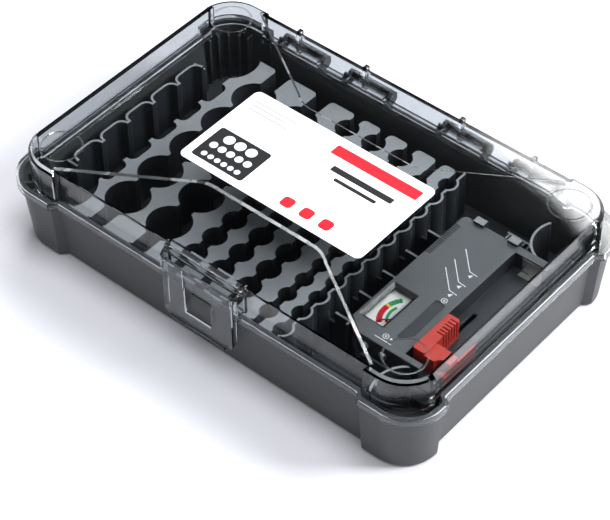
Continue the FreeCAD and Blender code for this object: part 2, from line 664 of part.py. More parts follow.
def make_latch():
    """Clear flap with side flanges, window, finger channel, pull lip and stub pivots."""
    front = -LATCH_FRONT
    back = front + LATCH_T
    plate = box(-LATCH_X, LATCH_X, front, back, LATCH_FOOT, LATCH_CHAMFER_Z)
    lower = [e for e in plate.Edges if abs(e.tangentAt(0).y) > ALONG and e.BoundBox.ZMax < LATCH_FOOT + OVER]
    plate = plate.makeFillet(LATCH_CORNER_R, lower)
    bend = Part.Face(Part.makePolygon([
        V(-LATCH_X, front, LATCH_CHAMFER_Z),
        V(-LATCH_X, PIVOT_Y - BARREL_R * 0.6, PIVOT_Z + BARREL_R * 0.8),
        V(-LATCH_X, PIVOT_Y, PIVOT_Z), V(-LATCH_X, back + BEND_IN, LATCH_CHAMFER_Z - BEND_IN * 2),
        V(-LATCH_X, back, LATCH_CHAMFER_Z - BEND_DOWN), V(-LATCH_X, front, LATCH_CHAMFER_Z - BEND_DOWN),
        V(-LATCH_X, front, LATCH_CHAMFER_Z)])).extrude(V(2 * LATCH_X, 0, 0))
    barrel = bar_x(-LATCH_X, LATCH_X, PIVOT_Y, PIVOT_Z, BARREL_R)
    stub_end = LATCH_X + EAR_GAP + LATCH_EAR_T - STUB_SHORT
    stubs = bar_x(-stub_end, stub_end, PIVOT_Y, PIVOT_Z, PIVOT_R)
    sides = []
    for x0 in (-LATCH_X, LATCH_X - LATCH_WALL):
        sides.append(box(x0, x0 + LATCH_WALL, back - SINK, front + LATCH_SIDE, LATCH_FOOT + LATCH_CORNER_R,
                         LATCH_CHAMFER_Z - BEND_DOWN))
    lip = box(-LATCH_X + LATCH_CORNER_R, LATCH_X - LATCH_CORNER_R, front - LATCH_LIP, back,
              LATCH_FOOT, LATCH_FOOT + LATCH_LIP_T)
    lip_edges = [e for e in lip.Edges if abs(e.tangentAt(0).x) > ALONG
                 and e.BoundBox.YMax < front - LATCH_LIP / 2]
    lip = lip.makeFillet(LATCH_LIP_ROUND, lip_edges)
    latch = fuse([plate, bend, barrel, stubs, lip] + sides)
    window = box(-WINDOW_X, WINDOW_X, front - OVER, back + OVER, WINDOW_Z0, WINDOW_Z1)
    channel = box(-WINDOW_X - CHANNEL_OVER, WINDOW_X + CHANNEL_OVER, front - OVER, front + RECESS_D,
                  WINDOW_Z1 - OVER, PIVOT_Z)
    return latch.cut(window).cut(channel)


def row(mid, pitch, count):
    """Y places of a row of pockets."""
    return [mid + (index - (count - 1) / 2) * pitch for index in range(count)]


def pockets(columns, wall):
    """Pockets of the given columns, or the coarser forms that leave a wall round them."""
    shapes = []
    for x, radius, places, sides in columns:
        flats = CORE_SIDES if wall else sides
        for y in places:
            shapes.append(flat_post(x, y, 0, RACK_H + POCKET_CUT, radius + wall, flats))
    return shapes


def d_posts(wall):
    """The four D-cell pockets, or the coarser forms that leave a wall round them."""
    shapes = []
    for sx in (-1, 1):
        for sy in (-1, 1):
            if wall:
                shapes.append(flat_post(sx * D_X, sy * D_Y, 0, RACK_H + POCKET_CUT, D_R + wall, SMALL_SIDES))
            else:
                shapes.append(post(sx * D_X, sy * D_Y, 0, RACK_H + POCKET_CUT, D_R))
    return shapes


def block_pockets(wall):
    """The row of pockets for block cells, grown by a wall."""
    places = row(BLOCK_MID, BLOCK_PITCH, BLOCK_COUNT)
    half_x = BLOCK_LONG / 2 + wall
    half_y = BLOCK_SHORT / 2 + wall
    top = RACK_H + POCKET_CUT
    shapes = []
    for y in places:
        shapes.append(soft_box(BLOCK_X - half_x, BLOCK_X + half_x, y - half_y, y + half_y, 0, top,
                               BLOCK_ROUND + wall))
    shapes.append(box(BLOCK_X - BLOCK_NECK / 2 - wall, BLOCK_X + BLOCK_NECK / 2 + wall,
                      places[0] - BLOCK_PITCH / 2, places[-1] + BLOCK_PITCH / 2, 0, top))
    return shapes


def island(x0, x1, columns, with_blocks):
    """One island between two channels: closed on top, hollow and open below."""
    edge = min(ISLAND_ROUND, (x1 - x0) / 2.2)
    outer = soft_box(x0, x1, RACK_Y0, RACK_Y1, FLOOR + RACK_FLOOR, RACK_H, edge)
    core = box(x0 + RACK_T, x1 - RACK_T, RACK_Y0 + RACK_T, RACK_Y1 - RACK_T, 0, RACK_H - RACK_T)
    outer_cuts = pockets(columns, 0) + d_posts(0)
    core_cuts = pockets(columns, RACK_T) + d_posts(RACK_T)
    if with_blocks:
        outer_cuts += block_pockets(0)
        core_cuts += block_pockets(RACK_T)
    outer = outer.cut(Part.makeCompound(outer_cuts))
    core = core.cut(Part.makeCompound(core_cuts))
    return outer.cut(core).removeSplitter()


def rack_columns():
    """Each channel as (centre x, pocket radius, y places, flats, neck width)."""
    columns = [(x, C_R, row(C_MID, C_PITCH, C_COUNT), C_SIDES, C_NECK) for x in C_XS]
    columns += [(x, AA_R, row(AA_MID, AA_PITCH, AA_COUNT), SMALL_SIDES, AA_NECK) for x in AA_XS]
    for x, mid, count in zip(AAA_XS, AAA_MIDS, AAA_COUNTS):
        columns.append((x, AAA_R, row(mid, AAA_PITCH, count), SMALL_SIDES, AAA_NECK))
    return columns


def make_rack():
    """Floor of the insert that holds the cells. The islands and walls stand on it."""
    floor_x = BASE_FOOT_X - WALL - RACK_GAP
    floor_y = BASE_FOOT_Y - WALL - RACK_GAP
    floor = soft_box(-floor_x, floor_x, -floor_y, floor_y, FLOOR, FLOOR + RACK_FLOOR, RACK_ROUND)
    return floor.cut(Part.makeCompound(d_posts(0)))


def make_island(number):
    """The island between two neighbouring channels, counted from the block-cell channel."""
    columns = rack_columns()
    x0 = BLOCK_X + BLOCK_NECK / 2
    if number > 0:
        x0 = columns[number - 1][0] + columns[number - 1][4] / 2
    x1 = columns[number][0] - columns[number][4] / 2
    beside = [column[:4] for column in columns[max(number - 1, 0):number + 1]]
    return island(x0, x1, beside, number == 0)


def make_block_wall():
    """Thin raised wall that follows the outer side of the block-cell pockets."""
    z0 = FLOOR + RACK_FLOOR
    skin = fuse(block_pockets(RACK_T)).cut(Part.makeCompound(block_pockets(0)))
    places = row(BLOCK_MID, BLOCK_PITCH, BLOCK_COUNT)
    low = places[0] - BLOCK_PITCH / 2
    high = places[-1] + BLOCK_PITCH / 2
    inner_x = BLOCK_X - BLOCK_NECK / 2
    skin = skin.common(box(-BASE_FOOT_X, inner_x + CUT_OVER, low - RACK_T, high + RACK_T, z0, BLOCK_WALL_H))
    wings = []
    for y in (low - RACK_T, high):
        wings.append(box(-BASE_FOOT_X + WALL + WING_IN, inner_x, y, y + RACK_T, z0,
                         BLOCK_WALL_H - WING_DOWN))
    return fuse([skin] + wings)


def make_wavy_wall():
    """Thin wavy wall that closes the last channel towards the tester."""
    x, radius, places, sides, neck = rack_columns()[-1]
    z0 = FLOOR + RACK_FLOOR
    edge = x + neck / 2
    strip = box(x, edge + WAVE_T, RACK_Y0, RACK_Y1, z0, WAVE_H)
    grown = [flat_post(x, y, z0, WAVE_H, radius + WAVE_T, sides) for y in places]
    holes = [flat_post(x, y, 0, WAVE_H + OVER, radius, sides) for y in places]
    holes.append(box(x - OVER, edge, RACK_Y0 - OVER, RACK_Y1 + OVER, 0, WAVE_H + OVER))
    wall = fuse([strip] + grown).cut(Part.makeCompound(holes))
    return wall.common(box(edge, x + 2 * radius, RACK_Y0, RACK_Y1, 0, WAVE_H))


def make_collars():
    """Part-round collars that hold the D cells on the tester's side."""
    shapes = []
    z0 = FLOOR + RACK_FLOOR
    reach = D_R + COLLAR_T + OVER
    tester = box(TESTER_X0 - COLLAR_CLEAR, TESTER_X0 + TESTER_W + STOP_GAP, tester_y0() - COLLAR_CLEAR,
                 tester_y1() + COLLAR_CLEAR, 0, RACK_H + OVER)
    for sy in (-1, 1):
        ring = post(D_X, sy * D_Y, z0, RACK_H, D_R + COLLAR_T)
        ring = ring.cut(post(D_X, sy * D_Y, 0, RACK_H + OVER, D_R))
        keep = prism([(D_X, D_Y), (D_X - reach, D_Y + reach * COLLAR_SPREAD), (D_X - reach, D_Y - reach),
                      (D_X, D_Y - reach)], 0, RACK_H + OVER)
        if sy < 0:
            keep = mirror_y(keep)
        shapes.append(ring.common(keep.cut(tester)))
    return Part.makeCompound(shapes)


def tester_y0():
    """Front end of the tester."""
    return TESTER_MID - TESTER_L / 2


def tester_y1():
    """Back end of the tester."""
    return TESTER_MID + TESTER_L / 2


def make_tester_bay():
    """Bearers, locating ribs and clip tabs that hold the tester."""
    shapes = []
    z0 = FLOOR + RACK_FLOOR
    y0 = tester_y0()
    y1 = tester_y1()
    x1 = TESTER_X0 + TESTER_W
    top = TESTER_Z0 + TESTER_H
    for share in FOOT_FIN_SHARES:
        y = y0 + TESTER_L * share
        shapes.append(box(TESTER_X0 - FIN_RUN, x1 + FIN_RUN, y, y + RACK_T, z0, TESTER_Z0))
    wave_face = AAA_XS[-1] + AAA_R + WAVE_T
    cap_x1 = TESTER_X0 - FIN_GAP
    for share in SIDE_FIN_SHARES:
        y = y0 + TESTER_L * share
        shapes.append(box(wave_face + FIN_RUN, cap_x1, y, y + RACK_T, z0, TESTER_Z0 + FIN_H))
        shapes.append(box(cap_x1 - RACK_T, cap_x1, y - FIN_CAP, y + RACK_T + FIN_CAP, z0,
                          TESTER_Z0 + FIN_H + CAP_UP))
        shapes.append(box(wave_face - ROOT, wave_face + FIN_RUN + SINK, y, y + RACK_T, z0,
                          TESTER_Z0 + TIE_H))
    clip_y0 = y1 + ROOT
    for share in CLIP_SHARES:
        x = TESTER_X0 + BODY_W * share
        mid = x + (CLIP_W - BRACE_W) / 2
        shapes.append(box(x, x + CLIP_W, clip_y0, clip_y0 + CLIP_BODY, z0, top + CLIP_UP))
        shapes.append(box(x, x + CLIP_W, y1 - CLIP_NOSE, clip_y0 + SINK, top + CLIP_OVER, top + CLIP_UP))
        shapes.append(box(mid, mid + BRACE_W, clip_y0 + CLIP_BODY - SINK, clip_y0 + BRACE_L, z0,
                          TESTER_Z0 + BRACE_H))
    comb_x0 = TESTER_X0 + TESTER_W * COMB_SHARE
    comb_y = y1 + COMB_Y
    shapes.append(box(comb_x0, comb_x0 + COMB_L, comb_y, comb_y + RACK_T, z0, TESTER_Z0 + COMB_H))
    for index in range(COMB_TEETH):
        x = comb_x0 + COMB_TOOTH + index * COMB_PITCH
        shapes.append(box(x, x + COMB_TOOTH, comb_y - COMB_PITCH, comb_y + SINK, z0, TESTER_Z0 + COMB_H))
    stop_x = x1 + STOP_GAP
    stop_y0 = y0 + TESTER_L * STOP_FRONT
    stop_y1 = y1 - TESTER_L * STOP_BACK
    shapes.append(box(stop_x, stop_x + RACK_T, stop_y0, stop_y1, z0, TESTER_Z0 + STOP_H))
    front_y = y0 - FIN_GAP
    front_x0 = TESTER_X0 + BODY_W * LEDGE_FROM
    front_x1 = TESTER_X0 + BODY_W * LEDGE_TO
    shapes.append(box(front_x0, front_x1, front_y - RACK_T, front_y, z0, TESTER_Z0 + STOP_H))
    bay = fuse(shapes)
    return bay.cut(Part.makeCompound([make_wavy_wall(), make_collars()]))


def tester_plan(inset, z0, z1):
    """Block over the tester's outline, with its slanted front corner."""
    x0 = TESTER_X0 + inset
    x1 = TESTER_X0 + TESTER_W - inset
    y0 = tester_y0() + inset
    y1 = tester_y1() - inset
    small = TESTER_CORNER
    points = [(x0 + SLANT_X, y0), (x1 - small, y0), (x1, y0 + small), (x1, y1 - small), (x1 - small, y1),
              (x0 + small, y1), (x0, y1 - small), (x0, y0 + SLANT_Y)]
    return prism(points, z0, z1)


TESTER_TOP = TESTER_Z0 + TESTER_H
SPLIT_Z = TESTER_Z0 + TESTER_SPLIT
BODY_X1 = TESTER_X0 + BODY_W
SLOT_X = (GRIP_X0 + GRIP_X1) / 2
STEM_Y = GRIP_Y0 + STEM_Y0
SLOT_Y0 = STEM_Y - SLIDER_DOWN - OVER
SLOT_Y1 = STEM_Y + STEM_L + SLIDER_UP + OVER
STUD_Z = TESTER_TOP - STUD_DOWN
TROUGH_Y1 = TESTER_MID + TESTER_L / 2 - END_T - END_EXTRA
SCREW_HOLE_R = SCREW_R * 0.85


def screw_places():
    """Where the two screws join the tester's halves."""
    back = (TESTER_X0 + BODY_W * SCREW_BACK_SHARE, tester_y1() - 2 * END_T)
    front = (TESTER_X0 + BODY_W * SCREW_FRONT_SHARE, tester_y0() + SCREW_FRONT_Y)
    return [back, front]


def make_tester_cover():
    """Upper half: full-height body, battery trough, meter opening, step and grip notches."""
    y0 = tester_y0()
    x1 = TESTER_X0 + TESTER_W
    cover = tester_plan(0, SPLIT_Z, TESTER_TOP)
    top_edges = [e for e in cover.Edges if e.BoundBox.ZMin > TESTER_TOP - CUT_OVER]
    cover = cover.makeFillet(COVER_ROUND, top_edges)
    cover = cover.cut(box(BODY_X1, x1 + OVER, y0 + END_T, TROUGH_Y1, TROUGH_Z, TESTER_TOP + OVER))
    cover = cover.cut(box(BODY_X1 + STEP_W, x1 + OVER, y0 - OVER, y0 + END_T + OVER,
                          TROUGH_Z, TESTER_TOP + OVER))
    hollow = tester_plan(SHELL_T, SPLIT_Z - OVER, TESTER_TOP - SHELL_T)
    hollow = hollow.cut(box(BODY_X1 - SHELL_T, x1 + OVER, y0 - OVER, tester_y1() + OVER,
                            TROUGH_Z - SHELL_T, TESTER_TOP + OVER))
    cover = cover.cut(hollow).cut(meter_opening()).cut(sunk_band())
    cover = cover.cut(box(SLOT_X - STEM_W / 2 - SLOT_GAP, SLOT_X + STEM_W / 2 + SLOT_GAP, SLOT_Y0, SLOT_Y1,
                          SPLIT_Z - OVER, TROUGH_Z + OVER))
    notches = []
    for index in range(NOTCHES):
        y = tester_y1() - NOTCH_Y - index * NOTCH_PITCH
        notches.append(box(TESTER_X0 - OVER, TESTER_X0 + NOTCH_L, y, y + NOTCH_W,
                           TESTER_TOP - NOTCH_W, TESTER_TOP + OVER))
    cover = cover.cut(Part.makeCompound(notches))
    bosses = []
    for x, y in screw_places():
        bosses.append(post(x, y, SPLIT_Z, TESTER_TOP - SHELL_T + SINK, SCREW_R + BOSS_T))
    cover = fuse([cover] + bosses)
    for x, y in screw_places():
        cover = cover.cut(post(x, y, SPLIT_Z - OVER, SPLIT_Z + SCREW_IN + OVER, SCREW_HOLE_R))
    for x in block_contact_xs():
        cover = cover.cut(stud_stem(x))
    return cover


def meter_opening():
    """Opening over the meter's scale, narrowing towards the pane."""
    rings = []
    for inset, z in ((METER_SLOPE, TESTER_TOP - SHELL_T - CUT_OVER), (0, TESTER_TOP + CUT_OVER)):
        x0 = METER_X0 + inset
        x1 = METER_X1 - inset
        y0 = METER_Y0 + inset
        y1 = METER_Y1 - inset
        rings.append(Part.makePolygon([V(x0, y0, z), V(x1, y0, z), V(x1, y1, z), V(x0, y1, z),
                                       V(x0, y0, z)]))
    return Part.makeLoft(rings, True, True)


def sunk_band():
    """Shallow field beside the meter's opening."""
    x1 = BAND_X + BAND_W
    y1 = METER_Y1 + BAND_W / 2
    points = [(BAND_X, METER_Y0), (BAND_X, y1 - BAND_W * 0.1), (BAND_X + BAND_W * 0.35, y1),
              (x1 - BAND_W * 0.1, y1 - BAND_W * 0.2), (x1, METER_Y0 + BAND_W * 0.8),
              (x1 - BAND_W * 0.55, METER_Y0)]
    return prism(points, TESTER_TOP - BAND_DEPTH, TESTER_TOP + OVER)


def block_contact_xs():
    """Where the two studs for block cells stand."""
    return (TESTER_X0 + STUD_X, TESTER_X0 + STUD_X + STUD_PITCH)


def stud_stem(x):
    """Stem of one stud, through the front wall."""
    return Part.makeCylinder(STUD_R, SHELL_T + STUD_OUT, V(x, tester_y0() - STUD_OUT, STUD_Z), V(0, 1, 0))


def make_tester_base():
    """Lower half of the tester, with bosses for its screws."""
    pan = tester_plan(0, TESTER_Z0, SPLIT_Z)
    lower = [e for e in pan.Edges if e.BoundBox.ZMax < TESTER_Z0 + CUT_OVER]
    pan = pan.makeChamfer(PAN_BEVEL, lower)
    pan = pan.cut(tester_plan(SHELL_T, TESTER_Z0 + SHELL_T, SPLIT_Z + OVER))
    floor_z = TESTER_Z0 + SHELL_T - SINK
    posts = [post(x, y, floor_z, SPLIT_Z, SCREW_R + BOSS_T) for x, y in screw_places()]
    stands = []
    for x in (board_x0(), board_x0() + BOARD_L - BOARD_LEG):
        for y in (board_y0(), board_y0() + BOARD_W - BOARD_LEG):
            stands.append(box(x, x + BOARD_LEG, y, y + BOARD_LEG, floor_z, BOARD_Z))
    x0, x1, y0, y1 = meter_outline()
    for share in CLIP_SHARES:
        x = x0 + (x1 - x0) * share
        stands.append(box(x, x + BOARD_LEG, y0 + LEDGE_W, y1 - LEDGE_W, floor_z, METER_FLOOR_Z))
    pan = fuse([pan] + posts + stands)
    for x, y in screw_places():
        pan = pan.cut(post(x, y, TESTER_Z0 - OVER, SPLIT_Z + OVER, SCREW_R + PIN_GAP))
        pan = pan.cut(post(x, y, TESTER_Z0 - OVER, TESTER_Z0 + SCREW_HEAD + SINK, SCREW_R * 2))
    return pan


PANE_Z = TESTER_TOP - SHELL_T - PANE_T
NEEDLE_Z = PANE_Z - NEEDLE_DOWN
SCALE_Z = NEEDLE_Z - SCALE_DOWN
CORE_Z = SCALE_Z - CORE_DOWN
METER_FLOOR_Z = CORE_Z - FLOOR_DOWN
BOARD_Z = TESTER_Z0 + BOARD_UP
COIL_R = CORE_R + COIL_GAP
COIL_Z0 = CORE_Z - COIL_GAP - COIL_T
COIL_Z1 = CORE_Z + CORE_H + COIL_GAP + COIL_T


def board_x0():
    """Left edge of the circuit board."""
    return TESTER_X0 + BOARD_X


def board_y0():
    """Front edge of the circuit board."""
    return TESTER_MID + BOARD_Y


def meter_outline():
    """Outer faces of the meter's case."""
    return (METER_X0 - SINK, NEEDLE_X + METER_OUT, METER_Y0 - METER_EDGE, METER_Y1 + METER_EDGE)


def make_meter_case():
    """Open-topped box of the meter, with a ledge under the scale."""
    x0, x1, y0, y1 = meter_outline()
    wall = METER_WALL
    case = box(x0, x1, y0, y1, METER_FLOOR_Z, PANE_Z)
    floor_z = METER_FLOOR_Z + wall
    case = case.cut(box(x0 + wall, x1 - wall, y0 + wall, y1 - wall, floor_z, PANE_Z + OVER))
    inner_x = x0 + wall - SINK
    low_y = y0 + wall - SINK
    high_y = y1 - wall + SINK
    ledges = [box(inner_x, inner_x + LEDGE_W, low_y, high_y, floor_z - SINK, SCALE_Z),
              box(inner_x, METER_X1, low_y, low_y + LEDGE_W, floor_z - SINK, SCALE_Z),
              box(inner_x, METER_X1, high_y - LEDGE_W, high_y, floor_z - SINK, SCALE_Z)]
    return fuse([case] + ledges)


def make_meter_scale():
    """Printed scale plate under the needle."""
    x0, _, y0, y1 = meter_outline()
    side = METER_WALL + SINK
    inner_x = NEEDLE_X - COIL_R - COIL_T - 2 * YOKE_GAP
    return box(x0 + side, inner_x, y0 + side, y1 - side, SCALE_Z, SCALE_Z + SCALE_T)


def make_meter_pane():
    """Clear pane over the scale, under the cover's opening."""
    edge = METER_SLOPE - PANE_EDGE
    return box(METER_X0 + edge, METER_X1 - edge, METER_Y0 + edge, METER_Y1 - edge, PANE_Z, PANE_Z + PANE_T)


def make_core():
    """Round core magnet inside the coil."""
    return post(NEEDLE_X, NEEDLE_Y, CORE_Z, CORE_Z + CORE_H, CORE_R)


def make_yoke():
    """Iron ring round the coil, with two webs that carry the core and a foot on the floor."""
    inner = COIL_R + COIL_T + YOKE_GAP
    outer = inner + YOKE_T
    ring = post(NEEDLE_X, NEEDLE_Y, CORE_Z, CORE_Z + CORE_H, outer)
    ring = ring.cut(post(NEEDLE_X, NEEDLE_Y, CORE_Z - OVER, CORE_Z + CORE_H + OVER, inner))
    shapes = [ring]
    for side in (-1, 1):
        near, far = sorted((side * (CORE_R - ROOT), side * (inner + SINK)))
        shapes.append(box(NEEDLE_X - BRIDGE_W / 2, NEEDLE_X + BRIDGE_W / 2, NEEDLE_Y + near, NEEDLE_Y + far,
                          CORE_Z + OVER, CORE_Z + CORE_H - OVER))
        foot_y = NEEDLE_Y + side * (inner + YOKE_T / 2)
        shapes.append(box(NEEDLE_X - YOKE_T, NEEDLE_X + YOKE_T, foot_y - YOKE_T / 2, foot_y + YOKE_T / 2,
                          METER_FLOOR_Z + METER_WALL, CORE_Z + ROOT))
    yoke = fuse(shapes)
    return yoke.cut(post(NEEDLE_X, NEEDLE_Y, CORE_Z - OVER, CORE_Z + CORE_H + OVER, CORE_R))


def turned(shape):
    """Turn a shape built along +X to the needle's direction and move it to the pivot."""
    shape.rotate(V(0, 0, 0), V(0, 0, 1), NEEDLE_REST)
    shape.translate(V(NEEDLE_X, NEEDLE_Y, 0))
    return shape


def make_coil():
    """Wound coil: an upright frame that swings round the core."""
    reach = COIL_R + COIL_T
    frame = box(-reach, reach, -COIL_W / 2, COIL_W / 2, COIL_Z0, COIL_Z1)
    hole = box(-COIL_R, COIL_R, -COIL_W, COIL_W, COIL_Z0 + COIL_T, COIL_Z1 - COIL_T)
    return turned(frame.cut(hole))


def make_staff():
    """Two short pivots on the coil, above and below the core."""
    low = post(0, 0, COIL_Z0 - BRIDGE_T - ROOT, COIL_Z0, STAFF_R)
    high = post(0, 0, COIL_Z1, NEEDLE_Z + NEEDLE_T + ROOT, STAFF_R)
    return turned(Part.makeCompound([low, high]))


def make_needle():
    """Flat pointer with a hub and a short tail."""
    half = NEEDLE_W / 2
    neck = NEEDLE_L - 2 * NEEDLE_W
    points = [(-NEEDLE_TAIL, -NEEDLE_W), (-NEEDLE_TAIL, NEEDLE_W), (0, half), (neck, half),
              (NEEDLE_L, 0), (neck, -half), (0, -half)]
    blade = prism(points, NEEDLE_Z, NEEDLE_Z + NEEDLE_T)
    hub = post(0, 0, NEEDLE_Z, NEEDLE_Z + NEEDLE_T, HUB_R)
    needle = blade.fuse(hub).cut(post(0, 0, NEEDLE_Z - OVER, NEEDLE_Z + OVER, STAFF_R))
    return turned(needle)


def make_bridges():
    """Strips that hold the bearings of the pivots, above and below."""
    inner = COIL_R + COIL_T + YOKE_GAP
    reach = inner + YOKE_T
    x0 = NEEDLE_X - BRIDGE_W / 2
    x1 = NEEDLE_X + BRIDGE_W / 2
    low_z = COIL_Z0 - BRIDGE_GAP - BRIDGE_T
    high_z = COIL_Z1 + BRIDGE_GAP
    low = box(x0, x1, NEEDLE_Y - inner + SINK, NEEDLE_Y + inner - SINK, low_z, low_z + BRIDGE_T)
    low = low.fuse(box(x0, x1, NEEDLE_Y - BRIDGE_W, NEEDLE_Y + BRIDGE_W,
                       METER_FLOOR_Z + METER_WALL, low_z + SINK))
    high = box(x0, x1, NEEDLE_Y - reach, NEEDLE_Y + reach, high_z, high_z + BRIDGE_T)
    for side in (-1, 1):
        near, far = sorted((side * inner, side * reach))
        high = high.fuse(box(x0, x1, NEEDLE_Y + near, NEEDLE_Y + far, CORE_Z + CORE_H, high_z + SINK))
    bore = post(NEEDLE_X, NEEDLE_Y, METER_FLOOR_Z + METER_WALL, NEEDLE_Z, STAFF_R + PIN_GAP)
    return Part.makeCompound([low.cut(bore).removeSplitter(), high.cut(bore).removeSplitter()])


def make_hairspring():
    """Flat spiral spring between the upper bridge and the needle's hub, drawn as joined rings."""
    z0 = COIL_Z1 + BRIDGE_GAP + BRIDGE_T + SPRING_W
    z1 = z0 + SPRING_W
    shapes = []
    for index in range(SPRING_TURNS):
        radius = SPRING_R + index * SPRING_PITCH
        ring = flat_post(NEEDLE_X, NEEDLE_Y, z0, z1, radius + SPRING_W / 2, SPRING_SIDES)
        hole = flat_post(NEEDLE_X, NEEDLE_Y, z0 - OVER, z1 + OVER, radius - SPRING_W / 2, SPRING_SIDES)
        shapes.append(ring.cut(hole))
    half = SPRING_W / 2
    shapes.append(box(NEEDLE_X + SPRING_R, NEEDLE_X + radius, NEEDLE_Y - half, NEEDLE_Y + half, z0, z1))
    shapes.append(box(NEEDLE_X - SPRING_W / 2, NEEDLE_X + SPRING_W / 2, NEEDLE_Y + radius - SPRING_W / 2,
                      NEEDLE_Y + radius + SPRING_W / 2, z0 - SPRING_W, z1))
    return fuse(shapes)


def make_slider():
    """Red clamp: grip block, arm, outer cheek and the stem through the trough's slot."""
    low = TROUGH_Z + SEAT_GAP
    grip = rounded_box(GRIP_X0, GRIP_X1, GRIP_Y0, GRIP_Y1, low, SLIDER_TOP, GRIP_ROUND)
    arm = box(GRIP_X1 - ARM_ROOT, PLATE_X0 + PLATE_T, GRIP_Y0, ARM_Y1, low, ARM_TOP)
    cheek = box(PLATE_X0, PLATE_X0 + PLATE_T, GRIP_Y0, PLATE_Y1, TROUGH_Z - CHEEK_DOWN, ARM_TOP - CHEEK_DOWN)
    stem = box(SLOT_X - STEM_W / 2, SLOT_X + STEM_W / 2, STEM_Y, STEM_Y + STEM_L,
               TROUGH_Z - SHELL_T - SEAT_GAP, low + ROOT)
    slider = fuse([grip, arm, cheek, stem])
    slider = slider.cut(post(PLATE_X0, GRIP_Y0 - PLATE_T, low + SCOOP_R, ARM_TOP + OVER, SCOOP_R))
    grooves = []
    for index in range(GRIP_RIBS):
        y = GRIP_Y1 - GROOVE_IN - index * GROOVE_PITCH
        grooves.append(box(GRIP_X0 + GROOVE_IN, GRIP_X1 + OVER, y, y + GROOVE_W, SLIDER_TOP - GROOVE_DEEP,
                           SLIDER_TOP + OVER))
        grooves.append(box(GRIP_X1 - GROOVE_DEEP, GRIP_X1 + OVER, y, y + GROOVE_W, low + GROOVE_PITCH,
                           SLIDER_TOP + OVER))
    return slider.cut(Part.makeCompound(grooves))


def make_keeper():
    """Keeper strip under the slot that holds the slider down."""
    top = TROUGH_Z - SHELL_T - SEAT_GAP
    return box(SLOT_X - KEEPER_W / 2, SLOT_X + KEEPER_W / 2,
               STEM_Y - KEEPER_OVER, STEM_Y + STEM_L + KEEPER_OVER, top - KEEPER_T, top)


def make_slider_contact():
    """Spring plate on the slider's arm."""
    x0 = GRIP_X1 + OVER
    x1 = PLATE_X0 - OVER
    plate = box(x0, x1, ARM_Y1, ARM_Y1 + PLATE_SPRING_T, TROUGH_Z + OVER, ARM_TOP - OVER)
    dimple = Part.makeCylinder(DIMPLE_R, PLATE_SPRING_T + SINK,
                               V((x0 + x1) / 2, ARM_Y1 + SINK, (TROUGH_Z + ARM_TOP) / 2), V(0, 1, 0))
    return plate.fuse(dimple).removeSplitter()


def make_fixed_contact():
    """Spring plate at the far end of the trough."""
    x0 = GRIP_X1 - CONTACT_W / 3
    x1 = x0 + CONTACT_W
    plate = box(x0, x1, TROUGH_Y1 - PLATE_SPRING_T, TROUGH_Y1, TROUGH_Z, TESTER_TOP - OVER)
    foot = box(x0, x1, TROUGH_Y1 - CONTACT_FOOT, TROUGH_Y1, TROUGH_Z, TROUGH_Z + PLATE_SPRING_T)
    return plate.fuse(foot).removeSplitter()


def make_block_contacts():
    """Two studs on the tester's front end for block cells."""
    studs = []
    for x in block_contact_xs():
        head_at = V(x, tester_y0() - STUD_HEAD_T, STUD_Z)
        head = Part.makeCylinder(STUD_HEAD_R, STUD_HEAD_T, head_at, V(0, 1, 0))
        studs.append(stud_stem(x).fuse(head).removeSplitter())
    return Part.makeCompound(studs)


def make_board():
    """Circuit board on the stands of the lower half."""
    return box(board_x0(), board_x0() + BOARD_L, board_y0(), board_y0() + BOARD_W,
               BOARD_Z, BOARD_Z + BOARD_T)


def make_resistors():
    """Two load resistors lying on the board."""
    shapes = []
    board_top = BOARD_Z + BOARD_T
    mid_z = board_top + RESISTOR_R
    mid_x = board_x0() + BOARD_L / 2
    reach = RESISTOR_L / 2 + 2 * RESISTOR_R
    for share in RESISTOR_SHARES:
        y = board_y0() + BOARD_W * share
        y0 = y - LEAD_W / 2
        y1 = y + LEAD_W / 2
        body = bar_x(mid_x - RESISTOR_L / 2, mid_x + RESISTOR_L / 2, y, mid_z, RESISTOR_R)
        lead = box(mid_x - reach, mid_x + reach, y0, y1, mid_z - LEAD_W / 2, mid_z + LEAD_W / 2)
        legs = [box(x, x + LEAD_W, y0, y1, board_top, mid_z)
                for x in (mid_x - reach, mid_x + reach - LEAD_W)]
        shapes.append(fuse([body, lead] + legs))
    return Part.makeCompound(shapes)


def make_screws():
    """Two screws that join the tester's halves from below."""
    screws = []
    head_z = TESTER_Z0 + SINK
    for x, y in screw_places():
        head = post(x, y, head_z, head_z + SCREW_HEAD, SCREW_HEAD_R)
        shank = post(x, y, head_z + SCREW_HEAD, SPLIT_Z + SCREW_IN, SCREW_HOLE_R)
        slot = box(x - SCREW_R, x + SCREW_R, y - SINK, y + SINK, TESTER_Z0, head_z + SCREW_HEAD / 2)
        screws.append(head.fuse(shank).cut(slot).removeSplitter())
    return Part.makeCompound(screws)


def make_label():
    """Printed card stuck on the middle of the lid."""
    return rounded_box(LABEL_X0, LABEL_X1, LABEL_Y0, LABEL_Y1, TOTAL_H, TOTAL_H + LABEL_T, LABEL_R)


